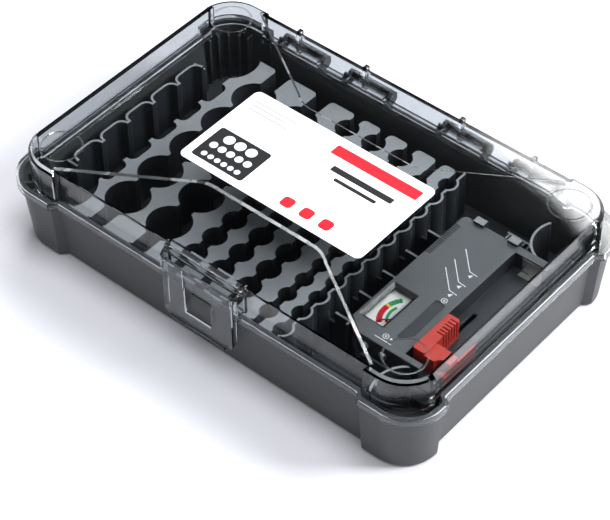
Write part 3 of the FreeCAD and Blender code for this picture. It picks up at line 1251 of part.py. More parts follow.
NODES = {
    "base_shell": make_base,
    "latch_catch": make_catch,
    "battery_rack": make_rack,
    "rack_block_wall": make_block_wall,
    "rack_wavy_wall": make_wavy_wall,
    "rack_collars": make_collars,
    "rack_tester_bay": make_tester_bay,
    "lid": make_lid,
    "latch": make_latch,
    "label_card": make_label,
    "tester_cover": make_tester_cover,
    "tester_base": make_tester_base,
    "tester_slider": make_slider,
    "slider_keeper": make_keeper,
    "slider_contact": make_slider_contact,
    "fixed_contact": make_fixed_contact,
    "block_cell_contacts": make_block_contacts,
    "meter_case": make_meter_case,
    "meter_scale": make_meter_scale,
    "meter_window": make_meter_pane,
    "meter_magnet": make_core,
    "meter_yoke": make_yoke,
    "meter_coil": make_coil,
    "meter_staff": make_staff,
    "meter_needle": make_needle,
    "meter_bridges": make_bridges,
    "meter_hairspring": make_hairspring,
    "circuit_board": make_board,
    "load_resistors": make_resistors,
    "tester_screws": make_screws,
}

os.makedirs("parts", exist_ok=True)
for name, make in NODES.items():
    make().exportStep("parts/" + name + ".step")
for number in range(len(rack_columns())):
    make_island(number).exportStep("parts/rack_island_" + str(number + 1) + ".step")
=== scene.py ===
"""Looks of a battery storage case: plastics, print, metal parts, studio and camera."""

import logging
import math
from dataclasses import dataclass, field
from enum import Enum

import bmesh
import bpy
from mathutils import Matrix, Vector


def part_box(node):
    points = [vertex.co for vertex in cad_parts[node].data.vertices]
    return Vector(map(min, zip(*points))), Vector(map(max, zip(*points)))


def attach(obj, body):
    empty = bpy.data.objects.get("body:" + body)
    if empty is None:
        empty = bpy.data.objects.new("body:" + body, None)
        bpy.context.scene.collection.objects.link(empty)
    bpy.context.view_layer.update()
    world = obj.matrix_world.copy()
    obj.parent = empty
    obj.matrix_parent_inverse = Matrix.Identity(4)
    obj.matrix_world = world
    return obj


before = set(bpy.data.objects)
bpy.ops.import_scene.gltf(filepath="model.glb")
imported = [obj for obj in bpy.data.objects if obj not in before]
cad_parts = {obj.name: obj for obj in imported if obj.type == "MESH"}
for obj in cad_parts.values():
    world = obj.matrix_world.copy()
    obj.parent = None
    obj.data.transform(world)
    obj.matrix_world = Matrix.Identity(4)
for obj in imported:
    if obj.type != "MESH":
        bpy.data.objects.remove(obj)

LOG = logging.getLogger("battery_case")
MM = 0.001
Colour = tuple[float, float, float]
Outline = list[tuple[float, float]]
Place = tuple[float, float, float]
Band = tuple[float, float]
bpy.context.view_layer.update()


class Socket(Enum):
    """Kinds of socket that the shared node groups use."""

    COLOUR = "NodeSocketColor"
    VALUE = "NodeSocketFloat"
    NORMAL = "NodeSocketVector"


class Body(Enum):
    """Rigid bodies of the case that printed pieces ride on."""

    CASE = "case"
    LID = "lid"


# Node trees


class TreeBuilder:
    """Small helper that fills one shader tree."""

    def __init__(self, tree: bpy.types.NodeTree) -> None:
        """Keep the tree."""
        self.tree = tree

    def node(self, kind: str, **values: object) -> bpy.types.Node:
        """Add a node and set its plain properties.

        Args:
            kind: Type of the node.
            values: Property name to value.

        Returns:
            The node.
        """
        made = self.tree.nodes.new(kind)
        for key, value in values.items():
            setattr(made, key, value)
        return made

    def link(self, start: bpy.types.NodeSocket, end: bpy.types.NodeSocket) -> None:
        """Join the socket that gives a value to the one that takes it."""
        self.tree.links.new(start, end)

    def noise(self, vector: bpy.types.NodeSocket, scale: bpy.types.NodeSocket | float,
              detail: float) -> bpy.types.NodeSocket:
        """Add a noise texture.

        Args:
            vector: Place socket.
            scale: Fixed scale, or a socket that gives it.
            detail: Octaves of the noise.

        Returns:
            Socket of the noise's value.
        """
        made = self.node("ShaderNodeTexNoise")
        made.inputs["Detail"].default_value = detail
        self.link(vector, made.inputs["Vector"])
        if isinstance(scale, bpy.types.NodeSocket):
            self.link(scale, made.inputs["Scale"])
        else:
            made.inputs["Scale"].default_value = scale
        return made.outputs["Fac"]

    def ranged(self, value: bpy.types.NodeSocket, band: Band, out: Band = (0.0, 1.0),
               smooth: bool = False) -> bpy.types.NodeSocket:
        """Map a value from one range to another.

        Args:
            value: Socket to map.
            band: Values that the range runs between.
            out: What the band's ends become.
            smooth: Whether the ends are eased.

        Returns:
            Socket of the result.
        """
        made = self.node("ShaderNodeMapRange", interpolation_type="SMOOTHSTEP" if smooth else "LINEAR")
        for label, number in zip(("From Min", "From Max", "To Min", "To Max"), (*band, *out)):
            made.inputs[label].default_value = number
        self.link(value, made.inputs["Value"])
        return made.outputs["Result"]

    def math(self, operation: str, first: bpy.types.NodeSocket,
             second: bpy.types.NodeSocket | float) -> bpy.types.NodeSocket:
        """Combine two values.

        Args:
            operation: Name of the operation.
            first: First socket.
            second: Second socket, or a fixed number.

        Returns:
            Socket of the result.
        """
        made = self.node("ShaderNodeMath", operation=operation)
        self.link(first, made.inputs[0])
        if isinstance(second, bpy.types.NodeSocket):
            self.link(second, made.inputs[1])
        else:
            made.inputs[1].default_value = second
        return made.outputs[0]

    def axis(self, vector: bpy.types.NodeSocket, name: str) -> bpy.types.NodeSocket:
        """Take one axis of a vector.

        Args:
            vector: Socket of the vector.
            name: X, Y or Z.

        Returns:
            Socket of the axis.
        """
        split = self.node("ShaderNodeSeparateXYZ")
        self.link(vector, split.inputs["Vector"])
        return split.outputs[name]

    def along(self, way: bpy.types.NodeSocket, towards: Place) -> bpy.types.NodeSocket:
        """How far a direction points towards another.

        Args:
            way: Socket of the direction.
            towards: The other direction, of length one.

        Returns:
            Socket of the cosine between the two.
        """
        dot = self.node("ShaderNodeVectorMath", operation="DOT_PRODUCT")
        dot.inputs[1].default_value = towards
        self.link(way, dot.inputs[0])
        return dot.outputs["Value"]

    def blend(self, share: bpy.types.NodeSocket, first: Colour, second: Colour) -> bpy.types.NodeSocket:
        """Blend two fixed colours.

        Args:
            share: Socket of the second colour's share.
            first: Colour at nought.
            second: Colour at one.

        Returns:
            Socket of the colour.
        """
        mix = self.node("ShaderNodeMix", data_type="RGBA")
        mix.inputs["A"].default_value = (*first, 1)
        mix.inputs["B"].default_value = (*second, 1)
        self.link(share, mix.inputs["Factor"])
        return mix.outputs["Result"]


class GroupBuilder(TreeBuilder):
    """Fills one shared node group."""

    def __init__(self, name: str, inputs: dict[str, tuple[Socket, object]],
                 outputs: dict[str, Socket]) -> None:
        """Make an empty group with its sockets.

        Args:
            name: Name of the group.
            inputs: Socket name to its kind and default value.
            outputs: Socket name to its kind.
        """
        super().__init__(bpy.data.node_groups.new(name, "ShaderNodeTree"))
        for label, (kind, default) in inputs.items():
            socket = self.tree.interface.new_socket(label, in_out="INPUT", socket_type=kind.value)
            socket.default_value = default
        for label, kind in outputs.items():
            self.tree.interface.new_socket(label, in_out="OUTPUT", socket_type=kind.value)
        self.source = self.node("NodeGroupInput")
        self.target = self.node("NodeGroupOutput")


# Numbers of the groups. A noise scale is per metre, and a band is a low and a high value.

EDGE_SAMPLES = 6
EDGE_TURN = (0.995, 0.8)        # agreement of the two normals, from flat to a sharp edge
PATCH_SCALE = 90.0
PATCH_DETAIL = 3.0
PATCH_BAND = (0.3, 0.7)
PATCH_SHARE = (0.45, 1.0)       # how much of an edge is worn

CLOUD_SCALE = 14.0
CLOUD_DETAIL = 4.0
CLOUD_BAND = (0.3, 0.7)
CLOUD_TONE = (0.9, 1.1)
CLOUD_GLOSS = (-0.05, 0.06)
SPECK_SCALE = 700.0
SPECK_DETAIL = 1.0
SPECK_BAND = (0.35, 0.65)
SPECK_TONE = (0.96, 1.05)
GRAIN_DETAIL = 2.0
EDGE_SHARE = 0.6                # how far a worn edge takes its lighter colour

SMEAR_STRETCH = (1.0, 2.6, 1.0)
SMEAR_TURN = (0.0, 0.0, 0.6)
SMEAR_SCALE = 26.0
SMEAR_DETAIL = 5.0
SMEAR_BAND = (0.45, 0.75)
RIPPLE_SCALE = 9.0
RIPPLE_DETAIL = 1.0

# faces that look up past this band count as lit tops; the rest gets painted shade
UPWARD_BAND = (0.5, 0.9)        # how far a face looks up


def edge_group() -> bpy.types.NodeTree:
    """Rounded-edge normal and a mask of worn, lighter edges.

    Returns:
        The node group.
    """
    g = GroupBuilder("worn_edges", {"Radius": (Socket.VALUE, 0.0004)},
                     {"Normal": Socket.NORMAL, "Edge": Socket.VALUE})
    bevel = g.node("ShaderNodeBevel", samples=EDGE_SAMPLES)
    g.link(g.source.outputs["Radius"], bevel.inputs["Radius"])
    geometry = g.node("ShaderNodeNewGeometry")
    dot = g.node("ShaderNodeVectorMath", operation="DOT_PRODUCT")
    g.link(bevel.outputs["Normal"], dot.inputs[0])
    g.link(geometry.outputs["Normal"], dot.inputs[1])
    place = g.node("ShaderNodeTexCoord").outputs["Object"]
    patches = g.noise(place, PATCH_SCALE, PATCH_DETAIL)
    edge = g.ranged(dot.outputs["Value"], EDGE_TURN)
    uneven = g.ranged(patches, PATCH_BAND, PATCH_SHARE)
    g.link(g.math("MULTIPLY", edge, uneven), g.target.inputs["Edge"])
    g.link(bevel.outputs["Normal"], g.target.inputs["Normal"])
    return g.tree


def grain_group() -> bpy.types.NodeTree:
    """Fine moulded grain with cloudy changes of colour and gloss.

    Returns:
        The node group.
    """
    g = GroupBuilder("moulded_grain", {
        "Colour": (Socket.COLOUR, (0.05, 0.05, 0.05, 1)),
        "Edge": (Socket.VALUE, 0.0),
        "Edge Colour": (Socket.COLOUR, (0.2, 0.2, 0.2, 1)),
        "Roughness": (Socket.VALUE, 0.45),
        "Grain Scale": (Socket.VALUE, 2400.0),
    }, {"Colour": Socket.COLOUR, "Roughness": Socket.VALUE, "Height": Socket.VALUE})
    place = g.node("ShaderNodeTexCoord").outputs["Object"]
    grain = g.noise(place, g.source.outputs["Grain Scale"], GRAIN_DETAIL)
    cloud = g.noise(place, CLOUD_SCALE, CLOUD_DETAIL)
    speck = g.noise(place, SPECK_SCALE, SPECK_DETAIL)
    lift = g.ranged(cloud, CLOUD_BAND, CLOUD_TONE)
    spot = g.ranged(speck, SPECK_BAND, SPECK_TONE)
    shade = g.math("MULTIPLY", lift, spot)
    tone = g.node("ShaderNodeVectorMath", operation="SCALE")
    g.link(g.source.outputs["Colour"], tone.inputs[0])
    g.link(shade, tone.inputs["Scale"])
    mix = g.node("ShaderNodeMix", data_type="RGBA")
    g.link(g.math("MULTIPLY", g.source.outputs["Edge"], EDGE_SHARE), mix.inputs["Factor"])
    g.link(tone.outputs["Vector"], mix.inputs["A"])
    g.link(g.source.outputs["Edge Colour"], mix.inputs["B"])
    g.link(mix.outputs["Result"], g.target.inputs["Colour"])
    rough = g.ranged(cloud, CLOUD_BAND, CLOUD_GLOSS)
    g.link(g.math("ADD", g.source.outputs["Roughness"], rough), g.target.inputs["Roughness"])
    g.link(grain, g.target.inputs["Height"])
    return g.tree


def handling_group() -> bpy.types.NodeTree:
    """Faint handling marks: a roughness that changes in soft streaks.

    Returns:
        The node group.
    """
    g = GroupBuilder("handling_marks", {
        "Roughness": (Socket.VALUE, 0.05),
        "Amount": (Socket.VALUE, 0.06),
    }, {"Roughness": Socket.VALUE, "Height": Socket.VALUE})
    place = g.node("ShaderNodeTexCoord").outputs["Object"]
    stretch = g.node("ShaderNodeMapping")
    stretch.inputs["Scale"].default_value = SMEAR_STRETCH
    stretch.inputs["Rotation"].default_value = SMEAR_TURN
    g.link(place, stretch.inputs["Vector"])
    smear = g.noise(stretch.outputs["Vector"], SMEAR_SCALE, SMEAR_DETAIL)
    streak = g.ranged(smear, SMEAR_BAND)
    amount = g.math("MULTIPLY", streak, g.source.outputs["Amount"])
    g.link(g.math("ADD", amount, g.source.outputs["Roughness"]), g.target.inputs["Roughness"])
    g.link(g.noise(place, RIPPLE_SCALE, RIPPLE_DETAIL), g.target.inputs["Height"])
    return g.tree


def lit_tops_group() -> bpy.types.NodeTree:
    """Mask of faces that look up and stand above a level: the lit tops, set against painted shade on the
    faces below and beside them.

    Returns:
        The node group.
    """
    g = GroupBuilder("upper_faces", {"Low": (Socket.VALUE, 0.02), "High": (Socket.VALUE, 0.03)},
                     {"Mask": Socket.VALUE})
    coordinates = g.node("ShaderNodeTexCoord")
    height = g.node("ShaderNodeMapRange")
    g.link(g.axis(coordinates.outputs["Object"], "Z"), height.inputs["Value"])
    g.link(g.source.outputs["Low"], height.inputs["From Min"])
    g.link(g.source.outputs["High"], height.inputs["From Max"])
    upward = g.ranged(g.axis(coordinates.outputs["Normal"], "Z"), UPWARD_BAND)
    g.link(g.math("MULTIPLY", upward, height.outputs["Result"]), g.target.inputs["Mask"])
    return g.tree


class Groups:
    """The shared node groups, each made once."""

    def __init__(self) -> None:
        """Build every group."""
        self.edges = edge_group()
        self.grain = grain_group()
        self.handling = handling_group()
        self.lit_tops = lit_tops_group()


class MaterialBuilder(TreeBuilder):
    """Fills one material, with its Principled shader at hand."""

    def __init__(self, name: str) -> None:
        """Make the material.

        Args:
            name: Name of the material.
        """
        self.material = bpy.data.materials.new(name)
        self.material.use_nodes = True
        super().__init__(self.material.node_tree)
        self.shader = self.tree.nodes["Principled BSDF"]
        self.out = self.tree.nodes["Material Output"]

    def group(self, tree: bpy.types.NodeTree, **values: object) -> bpy.types.Node:
        """Place a shared group and set its inputs.

        Args:
            tree: The group.
            values: Input name, with underscores for spaces, to value.

        Returns:
            The group node.
        """
        made = self.node("ShaderNodeGroup", node_tree=tree)
        for key, value in values.items():
            made.inputs[key.replace("_", " ")].default_value = value
        return made

    def set(self, **values: object) -> None:
        """Set plain values on the shader's own sockets, named with underscores for spaces."""
        for key, value in values.items():
            self.shader.inputs[key.replace("_", " ")].default_value = value

    def bump(self, height: bpy.types.NodeSocket, strength: float, distance: float,
             normal: bpy.types.NodeSocket | None = None) -> None:
        """Feed a height to the shader's normal through a bump node.

        Args:
            height: Height socket.
            strength: Share of the bump that counts.
            distance: Depth of the bump, in metres.
            normal: Normal that the bump starts from.
        """
        bump = self.node("ShaderNodeBump")
        bump.inputs["Strength"].default_value = strength
        bump.inputs["Distance"].default_value = distance
        self.link(height, bump.inputs["Height"])
        if normal is not None:
            self.link(normal, bump.inputs["Normal"])
        self.link(bump.outputs["Normal"], self.shader.inputs["Normal"])


# Finishes


@dataclass(frozen=True)
class MouldedPlastic:
    """Opaque injection-moulded plastic with a fine grain and slightly worn edges, and where asked, painted
    shade on faces that are low or don't look up.
    """

    name: str
    colour: Colour
    edge_colour: Colour
    roughness: float = 0.45
    grain_scale: float = 2400.0
    grain_depth: float = 0.00004
    edge_radius: float = 0.0004
    grain_strength: float = 0.35
    specular: float = 0.35
    # painted shade colour for faces below the levels or not looking up, with the levels in metres
    painted_shade_colour: Colour | None = None
    painted_shade_levels: Band = (0.020, 0.030)

    def make(self, groups: Groups) -> bpy.types.Material:
        """Build the material.

        Args:
            groups: Shared node groups.

        Returns:
            The material.
        """
        m = MaterialBuilder(self.name)
        edges = m.group(groups.edges, Radius=self.edge_radius)
        grain = m.group(groups.grain, Colour=(*self.colour, 1), Edge_Colour=(*self.edge_colour, 1),
                        Roughness=self.roughness, Grain_Scale=self.grain_scale)
        m.link(edges.outputs["Edge"], grain.inputs["Edge"])
        m.set(Specular_IOR_Level=self.specular)
        if self.painted_shade_colour is not None:
            # painted shade: faces low down or facing sideways take the dark painted shade colour, lit tops
            # keep the plain colour
            low, high = self.painted_shade_levels
            lit_tops = m.group(groups.lit_tops, Low=low, High=high)
            m.link(m.blend(lit_tops.outputs["Mask"], self.painted_shade_colour, self.colour), grain.inputs["Colour"])
        m.link(grain.outputs["Colour"], m.shader.inputs["Base Color"])
        m.link(grain.outputs["Roughness"], m.shader.inputs["Roughness"])
        m.bump(grain.outputs["Height"], self.grain_strength, self.grain_depth, edges.outputs["Normal"])
        return m.material


@dataclass(frozen=True)
class ClearPlastic:
    """Clear moulded plastic. Lamps shine through it."""

    name: str
    colour: Colour
    roughness: float = 0.02
    smears: float = 0.03
    ior: float = 1.4
    ripple_strength: float = 0.12
    ripple_depth: float = 0.001
    lamp_share: float = 0.96
    rim_colour: Colour | None = None
    rim_from: float = 0.0946
    rim_soft: float = 0.0005

    def make(self, groups: Groups) -> bpy.types.Material:
        """Build the material.

        Args:
            groups: Shared node groups.

        Returns:
            The material.
        """
        m = MaterialBuilder(self.name)
        m.set(Base_Color=(*self.colour, 1), Transmission_Weight=1.0, IOR=self.ior)
        if self.rim_colour is not None:
            self.tint_rim(m)
        marks = m.group(groups.handling, Roughness=self.roughness, Amount=self.smears)
        m.link(marks.outputs["Roughness"], m.shader.inputs["Roughness"])
        m.bump(marks.outputs["Height"], self.ripple_strength, self.ripple_depth)
        path = m.node("ShaderNodeLightPath")
        lamp = m.math("MAXIMUM", path.outputs["Is Shadow Ray"], path.outputs["Is Diffuse Ray"])
        clear = m.node("ShaderNodeBsdfTransparent")
        clear.inputs["Color"].default_value = (*(math.sqrt(c) * self.lamp_share for c in self.colour), 1)
        mix = m.node("ShaderNodeMixShader")
        m.link(lamp, mix.inputs["Fac"])
        m.link(m.shader.outputs["BSDF"], mix.inputs[1])
        m.link(clear.outputs["BSDF"], mix.inputs[2])
        m.link(mix.outputs["Shader"], m.out.inputs["Surface"])
        return m.material

    def tint_rim(self, m: MaterialBuilder) -> None:
        """Deepen the colour behind a place along Y, where the hinge clips are thick.

        Args:
            m: Material in work.
        """
        y = m.axis(m.node("ShaderNodeTexCoord").outputs["Object"], "Y")
        behind = m.ranged(y, (self.rim_from, self.rim_from + self.rim_soft))
        m.link(m.blend(behind, self.colour, self.rim_colour), m.shader.inputs["Base Color"])


@dataclass(frozen=True)
class Print:
    """Ink or coated card, nearly flat in colour, with a slight fibre."""

    name: str
    colour: Colour
    roughness: float = 0.4
    specular: float = 0.08
    fibre_depth: float = 0.00002
    fibre_strength: float = 0.3
    fibre_scale: float = 1500.0
    cloud_scale: float = 60.0
    cloud_detail: float = 2.0
    cloud_tone: Band = (0.97, 1.03)

    def make(self, groups: Groups) -> bpy.types.Material:
        """Build the material.

        Args:
            groups: Shared node groups.

        Returns:
            The material.
        """
        m = MaterialBuilder(self.name)
        m.set(Specular_IOR_Level=self.specular)
        grain = m.group(groups.grain, Colour=(*self.colour, 1), Roughness=self.roughness,
                        Grain_Scale=self.fibre_scale)
        m.link(grain.outputs["Roughness"], m.shader.inputs["Roughness"])
        place = m.node("ShaderNodeTexCoord").outputs["Object"]
        cloud = m.noise(place, self.cloud_scale, self.cloud_detail)
        colour = m.node("ShaderNodeVectorMath", operation="SCALE")
        colour.inputs[0].default_value = self.colour
        m.link(m.ranged(cloud, (0.0, 1.0), self.cloud_tone), colour.inputs["Scale"])
        m.link(colour.outputs["Vector"], m.shader.inputs["Base Color"])
        m.bump(grain.outputs["Height"], self.fibre_strength, self.fibre_depth)
        return m.material


@dataclass(frozen=True)
class Metal:
    """Bare or plated metal with fine drawing lines."""

    name: str
    colour: Colour
    roughness: float = 0.3
    edge_colour: Colour = (0.9, 0.88, 0.84)
    edge_radius: float = 0.0002
    drawn_scale: float = 900.0
    drawn_strength: float = 0.2
    drawn_depth: float = 0.00002

    def make(self, groups: Groups) -> bpy.types.Material:
        """Build the material.

        Args:
            groups: Shared node groups.

        Returns:
            The material.
        """
        m = MaterialBuilder(self.name)
        m.set(Metallic=1.0)
        edges = m.group(groups.edges, Radius=self.edge_radius)
        grain = m.group(groups.grain, Colour=(*self.colour, 1), Edge_Colour=(*self.edge_colour, 1),
                        Roughness=self.roughness, Grain_Scale=self.drawn_scale)
        m.link(edges.outputs["Edge"], grain.inputs["Edge"])
        m.link(grain.outputs["Colour"], m.shader.inputs["Base Color"])
        m.link(grain.outputs["Roughness"], m.shader.inputs["Roughness"])
        m.bump(grain.outputs["Height"], self.drawn_strength, self.drawn_depth, edges.outputs["Normal"])
        return m.material


Finish = MouldedPlastic | ClearPlastic | Print | Metal

BASE_PLASTIC = MouldedPlastic("base_plastic", (0.046, 0.048, 0.050), (0.13, 0.135, 0.14), 0.44)
# painted light: up-facing tops take a lighter lit colour, while pocket walls and floors get painted shade
RACK_PLASTIC = MouldedPlastic("rack_plastic", (0.215, 0.226, 0.238), (0.30, 0.31, 0.32), 0.42,
                              painted_shade_colour=(0.018, 0.020, 0.024))
TESTER_PLASTIC = MouldedPlastic("tester_plastic", (0.060, 0.063, 0.066), (0.14, 0.145, 0.15), 0.42, 3000.0)
# painted shade: the cover's trough and sunk band below its top are painted dark
COVER_PLASTIC = MouldedPlastic("tester_cover_plastic", (0.072, 0.076, 0.080), (0.16, 0.165, 0.17), 0.42,
                               3000.0, painted_shade_colour=(0.014, 0.015, 0.018), painted_shade_levels=(0.0355, 0.0359))
SLIDER_PLASTIC = MouldedPlastic("slider_plastic", (0.44, 0.030, 0.018), (0.6, 0.10, 0.08), 0.36, 2600.0)
METER_PLASTIC = MouldedPlastic("meter_plastic", (0.012, 0.012, 0.013), (0.05, 0.05, 0.05), 0.5)
LAMINATE = MouldedPlastic("laminate_board", (0.28, 0.17, 0.07), (0.4, 0.27, 0.13), 0.5)
LACQUER = MouldedPlastic("resistor_lacquer", (0.62, 0.5, 0.3), (0.7, 0.6, 0.45), 0.3)
NEEDLE_PAINT = MouldedPlastic("needle_paint", (0.02, 0.02, 0.02), (0.06, 0.06, 0.06), 0.45)
LID_CLEAR = ClearPlastic("lid_clear", (0.76, 0.785, 0.80), rim_colour=(0.16, 0.168, 0.175))
LATCH_CLEAR = ClearPlastic("latch_clear", (0.72, 0.745, 0.76), 0.03)
PANE_CLEAR = ClearPlastic("pane_clear", (0.95, 0.96, 0.96), 0.02, 0.02)
CARD = Print("card_white", (0.86, 0.86, 0.87))
RED_INK = Print("red_ink", (0.66, 0.010, 0.022))
DARK_INK = Print("dark_ink", (0.012, 0.013, 0.015))
GREY_INK = Print("grey_ink", (0.33, 0.34, 0.36))
PALE_INK = Print("pale_ink", (0.62, 0.64, 0.67))
WHITE_INK = Print("white_ink", (0.72, 0.73, 0.74))
SCALE_CARD = Print("scale_card", (0.86, 0.83, 0.80))
# painted shade: dark lines drawn in the lid's ring grooves
RING_PAINTED_SHADE = Print("ring_shade", (0.10, 0.105, 0.11))
GREEN_INK = Print("green_ink", (0.03, 0.30, 0.10))
YELLOW_INK = Print("yellow_ink", (0.75, 0.60, 0.12))
NICKEL = Metal("nickel", (0.66, 0.65, 0.62), 0.28)
STEEL = Metal("steel", (0.5, 0.5, 0.5), 0.35)
BRASS = Metal("brass", (0.72, 0.55, 0.26), 0.3)
COPPER = Metal("copper_wire", (0.62, 0.26, 0.12), 0.4)
MAGNET = Metal("magnet_alloy", (0.22, 0.22, 0.23), 0.5)


class Palette:
    """Every finish of the case, made when first asked for."""

    def __init__(self, groups: Groups) -> None:
        """Keep the groups for the materials to come."""
        self.groups = groups
        self.made: dict[str, bpy.types.Material] = {}

    def get(self, finish: Finish) -> bpy.types.Material:
        """The material of a finish, built once.

        Args:
            finish: Finish to look up.

        Returns:
            The material.
        """
        if finish.name not in self.made:
            self.made[finish.name] = finish.make(self.groups)
        return self.made[finish.name]

    def dress(self, node: str, finish: Finish) -> None:
        """Give a solid of the frame its finish.

        Args:
            node: Name of the solid.
            finish: Finish for all of it.
        """
        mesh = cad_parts[node].data
        mesh.materials.clear()
        mesh.materials.append(self.get(finish))
        LOG.info("dressed %s in %s", node, finish.name)


# Flat print


CORNER_STEPS = 6        # flats of a rounded corner
DISC_STEPS = 40         # flats of a disc
SECTOR_STEP = 4         # degrees that one flat of a sector covers
SECTOR_FEWEST = 4       # fewest flats of a sector
ARROW_POINTS = ((0, 1.0), (130, 0.8), (230, 0.8))       # direction and reach of an arrow's corners


def rounded(cx: float, cy: float, width: float, height: float, radius: float) -> Outline:
    """Outline of a rounded rectangle.

    Args:
        cx: Centre along X.
        cy: Centre along Y.
        width: Size along X.
        height: Size along Y.
        radius: Corner radius.

    Returns:
        The outline's points.
    """
    points = []
    for corner in range(4):
        sx = 1 if corner in (0, 3) else -1
        sy = 1 if corner in (0, 1) else -1
        for step in range(CORNER_STEPS + 1):
            angle = math.radians(90 * corner + 90 / CORNER_STEPS * step)
            x = sx * (width / 2 - radius) + radius * math.cos(angle)
            y = sy * (height / 2 - radius) + radius * math.sin(angle)
            points.append((cx + x, cy + y))
    return points


def disc(cx: float, cy: float, radius: float) -> Outline:
    """Outline of a disc round a centre."""
    angles = [math.tau * i / DISC_STEPS for i in range(DISC_STEPS)]
    return [(cx + radius * math.cos(a), cy + radius * math.sin(a)) for a in angles]


def sector(cx: float, cy: float, inner: float, outer: float, start: float, end: float) -> Outline:
    """Outline of a part of a ring.

    Args:
        cx: Centre along X.
        cy: Centre along Y.
        inner: The ring's inner radius.
        outer: The ring's outer radius.
        start: Direction that the part starts at, in degrees.
        end: Direction that it ends at, in degrees.

    Returns:
        The outline's points.
    """
    steps = max(SECTOR_FEWEST, int(abs(end - start) / SECTOR_STEP))
    angles = [math.radians(start + (end - start) * i / steps) for i in range(steps + 1)]
    far = [(cx + outer * math.cos(a), cy + outer * math.sin(a)) for a in angles]
    near = [(cx + inner * math.cos(a), cy + inner * math.sin(a)) for a in reversed(angles)]
    return far + near


def stroke(x0: float, y0: float, x1: float, y1: float, width: float) -> Outline:
    """Outline of a straight line with a width.

    Args:
        x0: Start along X.
        y0: Start along Y.
        x1: End along X.
        y1: End along Y.
        width: The line's width.

    Returns:
        The outline's points.
    """
    run = Vector((x1 - x0, y1 - y0)).normalized() * (width / 2)
    return [(x0 - run.y, y0 + run.x), (x0 + run.y, y0 - run.x),
            (x1 + run.y, y1 - run.x), (x1 - run.y, y1 + run.x)]


def arrow(cx: float, cy: float, size: float, turn: float) -> Outline:
    """Outline of a small solid triangle round a centre, with its tip turned to a direction in degrees."""
    corners = [(math.radians(turn + angle), size * reach) for angle, reach in ARROW_POINTS]
    return [(cx + reach * math.cos(angle), cy + reach * math.sin(angle)) for angle, reach in corners]


@dataclass
class PrintLayer:
    """Flat printed shapes of one ink on one level, in millimetres."""

    name: str
    level: float
    finish: Finish
    body: Body
    slot: str
    thickness: float = 0.04
    shapes: list[Outline] = field(default_factory=list)

    def add(self, *shapes: Outline) -> None:
        """Add closed outlines to the layer."""
        self.shapes.extend(shapes)

    def build(self, palette: Palette) -> bpy.types.Object:
        """Make the layer's mesh and let it ride on its body.

        Args:
            palette: Finishes of the case.

        Returns:
            The printed piece.
        """
        work = bmesh.new()
        for outline in self.shapes:
            ring = [work.verts.new((x * MM, y * MM, self.level * MM)) for x, y in outline]
            work.faces.new(ring)
        bmesh.ops.recalc_face_normals(work, faces=work.faces[:])
        extruded = bmesh.ops.extrude_face_region(work, geom=work.faces[:])
        lifted = [v for v in extruded["geom"] if isinstance(v, bmesh.types.BMVert)]
        bmesh.ops.translate(work, verts=lifted, vec=(0, 0, self.thickness * MM))
        bmesh.ops.recalc_face_normals(work, faces=work.faces[:])
        mesh = bpy.data.meshes.new(self.name)
        work.to_mesh(mesh)
        work.free()
        mesh.materials.append(palette.get(self.finish))
        piece = bpy.data.objects.new(self.name, mesh)
        bpy.context.scene.collection.objects.link(piece)
        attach(piece, self.body.value)
        LOG.info("printed %s with %d shapes", self.name, len(self.shapes))
        return piece


# Sub-assemblies

CARD_SINK = 0.03        # how far the card's inks start under its top, in millimetres
OVERPRINT = 0.01        # step between a surface or an ink and the ink on it, in millimetres


@dataclass
class CaseShell:
    """Dark outer case and the rack inside it."""

    shell_nodes: tuple[str, ...] = ("base_shell", "latch_catch")
    rack_node: str = "battery_rack"
    rack_prefix: str = "rack_"

    def build(self, palette: Palette) -> None:
        """Dress the case and the rack.

        Args:
            palette: Finishes of the case.
        """
        for node in self.shell_nodes:
            palette.dress(node, BASE_PLASTIC)
        for node in sorted(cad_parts):
            if node == self.rack_node or node.startswith(self.rack_prefix):
                palette.dress(node, RACK_PLASTIC)


